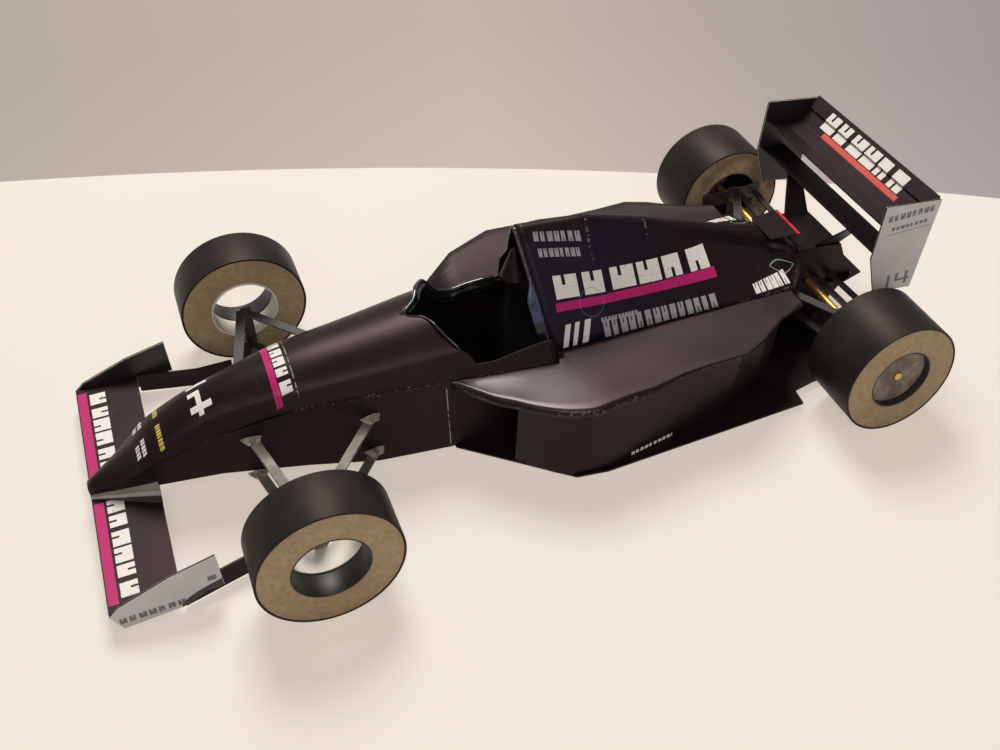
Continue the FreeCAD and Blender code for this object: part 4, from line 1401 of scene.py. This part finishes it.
class RACER_OT_stage(bpy.types.Operator):
    """Lay the table top, the wall behind it, the lamps and the camera"""
    bl_idname = "racer.stage"
    bl_label = "Stage"

    def execute(self, context):
        settings = context.scene.stage_settings
        context.scene.view_settings.view_transform = "Standard"
        self.table_top()
        self.room(context.scene)
        for name, (place, size, setting, colour) in LAMPS.items():
            data = bpy.data.lights.new(name, "AREA")
            data.shape, data.size, data.color = "DISK", size, colour
            data.energy = getattr(settings, setting)
            lamp = new_object(name, data)
            lamp.location = place
            lamp.rotation_mode = "QUATERNION"
            lamp.rotation_quaternion = (Vector(place) - LAMP_TARGET).to_track_quat("Z", "Y")
        self.camera(context.scene, settings.lens)
        return {"FINISHED"}

    def table_top(self):
        """A round pale table that shows the room's brightness and keeps the shadows."""
        bm = bmesh.new()
        bmesh.ops.create_circle(bm, cap_ends=True, segments=360, radius=0.892,
                                matrix=Matrix.Translation((0.339, 0.727, 0.0)))
        mesh = mesh_of("table_top", bm)
        f = Finish("table_paper")
        colour = f.mix(f.noise(60.0, 2.0), (0.79, 0.79, 0.77), (0.82, 0.82, 0.80))
        plain = f.node("ShaderNodeBsdfPrincipled", {"Base Color": colour, "Roughness": 0.8})
        lit = f.node("ShaderNodeEmission", {"Color": (1.0, 0.876, 0.74, 1), "Strength": 0.88})
        both = f.node("ShaderNodeMixShader", {0: f.looks() * 0.6, 1: plain, 2: lit})
        f.node("ShaderNodeOutputMaterial", {"Surface": both})
        mesh.materials.append(f.material)
        new_object("table_top", mesh)

    def room(self, scene):
        """A dim room for the light on the car, and a pale wall for what looks at it."""
        world = scene.world = bpy.data.worlds.new("room")
        world.use_nodes = True
        n = Nodes(world.node_tree)
        n.tree.nodes.clear()
        light = n.node("ShaderNodeBackground", {"Color": (1.0, 0.93, 0.87, 1), "Strength": 0.02})
        where = n.node("ShaderNodeTexCoord").outputs["Generated"]
        x, _, z = n.split(where)
        across = n.node("ShaderNodeMapRange", {"Value": x, "From Min": -0.65, "From Max": 0.10})
        wall = n.node("ShaderNodeValToRGB", {0: across}, stops=WALL)
        level = n.node("ShaderNodeMapRange", {"Value": z, "From Min": -0.44, "From Max": -0.56,
                                              "To Min": 0.96, "To Max": 1.08})
        seen = n.node("ShaderNodeBackground", {"Color": wall, "Strength": level})
        both = n.node("ShaderNodeMixShader", {0: n.looks(), 1: light, 2: seen})
        n.node("ShaderNodeOutputWorld", {0: both})

    def camera(self, scene, lens):
        """Looks down at the car from ahead and from its left."""
        yaw, pitch, roll = (math.radians(v) for v in CAMERA_TURN)
        flat = math.cos(pitch)
        forward = Vector((math.cos(yaw) * flat, math.sin(yaw) * flat, math.sin(pitch)))
        level = Vector((math.sin(yaw), -math.cos(yaw), 0))
        up = level.cross(forward)
        right = level * math.cos(roll) + up * math.sin(roll)
        head = up * math.cos(roll) - level * math.sin(roll)
        data = bpy.data.cameras.new("camera")
        data.lens = lens
        for key, value in CAMERA_FRAME.items():
            setattr(data, key, value)
        camera = new_object("camera", data)
        turned = Matrix((right, head, -forward)).transposed().to_4x4()
        camera.matrix_world = Matrix.Translation(Vector(CAMERA_PLACE) * MM) @ turned
        scene.camera = camera


BUILD_ORDER = (
    RACER_OT_nose, RACER_OT_tub, RACER_OT_cockpit, RACER_OT_cover, RACER_OT_pods, RACER_OT_floor,
    RACER_OT_front_wing, RACER_OT_rear_wing, RACER_OT_wheels, RACER_OT_arms, RACER_OT_tabs,
    RACER_OT_stage,
)
SETTINGS = (("card_sizes", CardSizes), ("card_colours", CardColours), ("stage_settings", StageSettings))


class RACER_PT_panel(bpy.types.Panel):
    """Lists the car's settings and its pieces"""
    bl_idname = "RACER_PT_panel"
    bl_label = "Card racer"
    bl_space_type = "VIEW_3D"
    bl_region_type = "UI"
    bl_category = "Card racer"

    def draw(self, context):
        for name, _ in SETTINGS:
            group = getattr(context.scene, name)
            box = self.layout.box()
            for key in group.__annotations__:
                box.prop(group, key)
        for operator in BUILD_ORDER:
            self.layout.operator(operator.bl_idname)


def register():
    for name, group in SETTINGS:
        bpy.utils.register_class(group)
        setattr(bpy.types.Scene, name, bpy.props.PointerProperty(type=group))
    for made in BUILD_ORDER + (RACER_PT_panel,):
        bpy.utils.register_class(made)


def unregister():
    for made in reversed(BUILD_ORDER + (RACER_PT_panel,)):
        bpy.utils.unregister_class(made)
    for name, group in reversed(SETTINGS):
        delattr(bpy.types.Scene, name)
        bpy.utils.unregister_class(group)


def main():
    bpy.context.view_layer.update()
    register()
    for operator in BUILD_ORDER:
        group, name = operator.bl_idname.split(".")
        getattr(getattr(bpy.ops, group), name)()


if __name__ == "__main__":
    main()
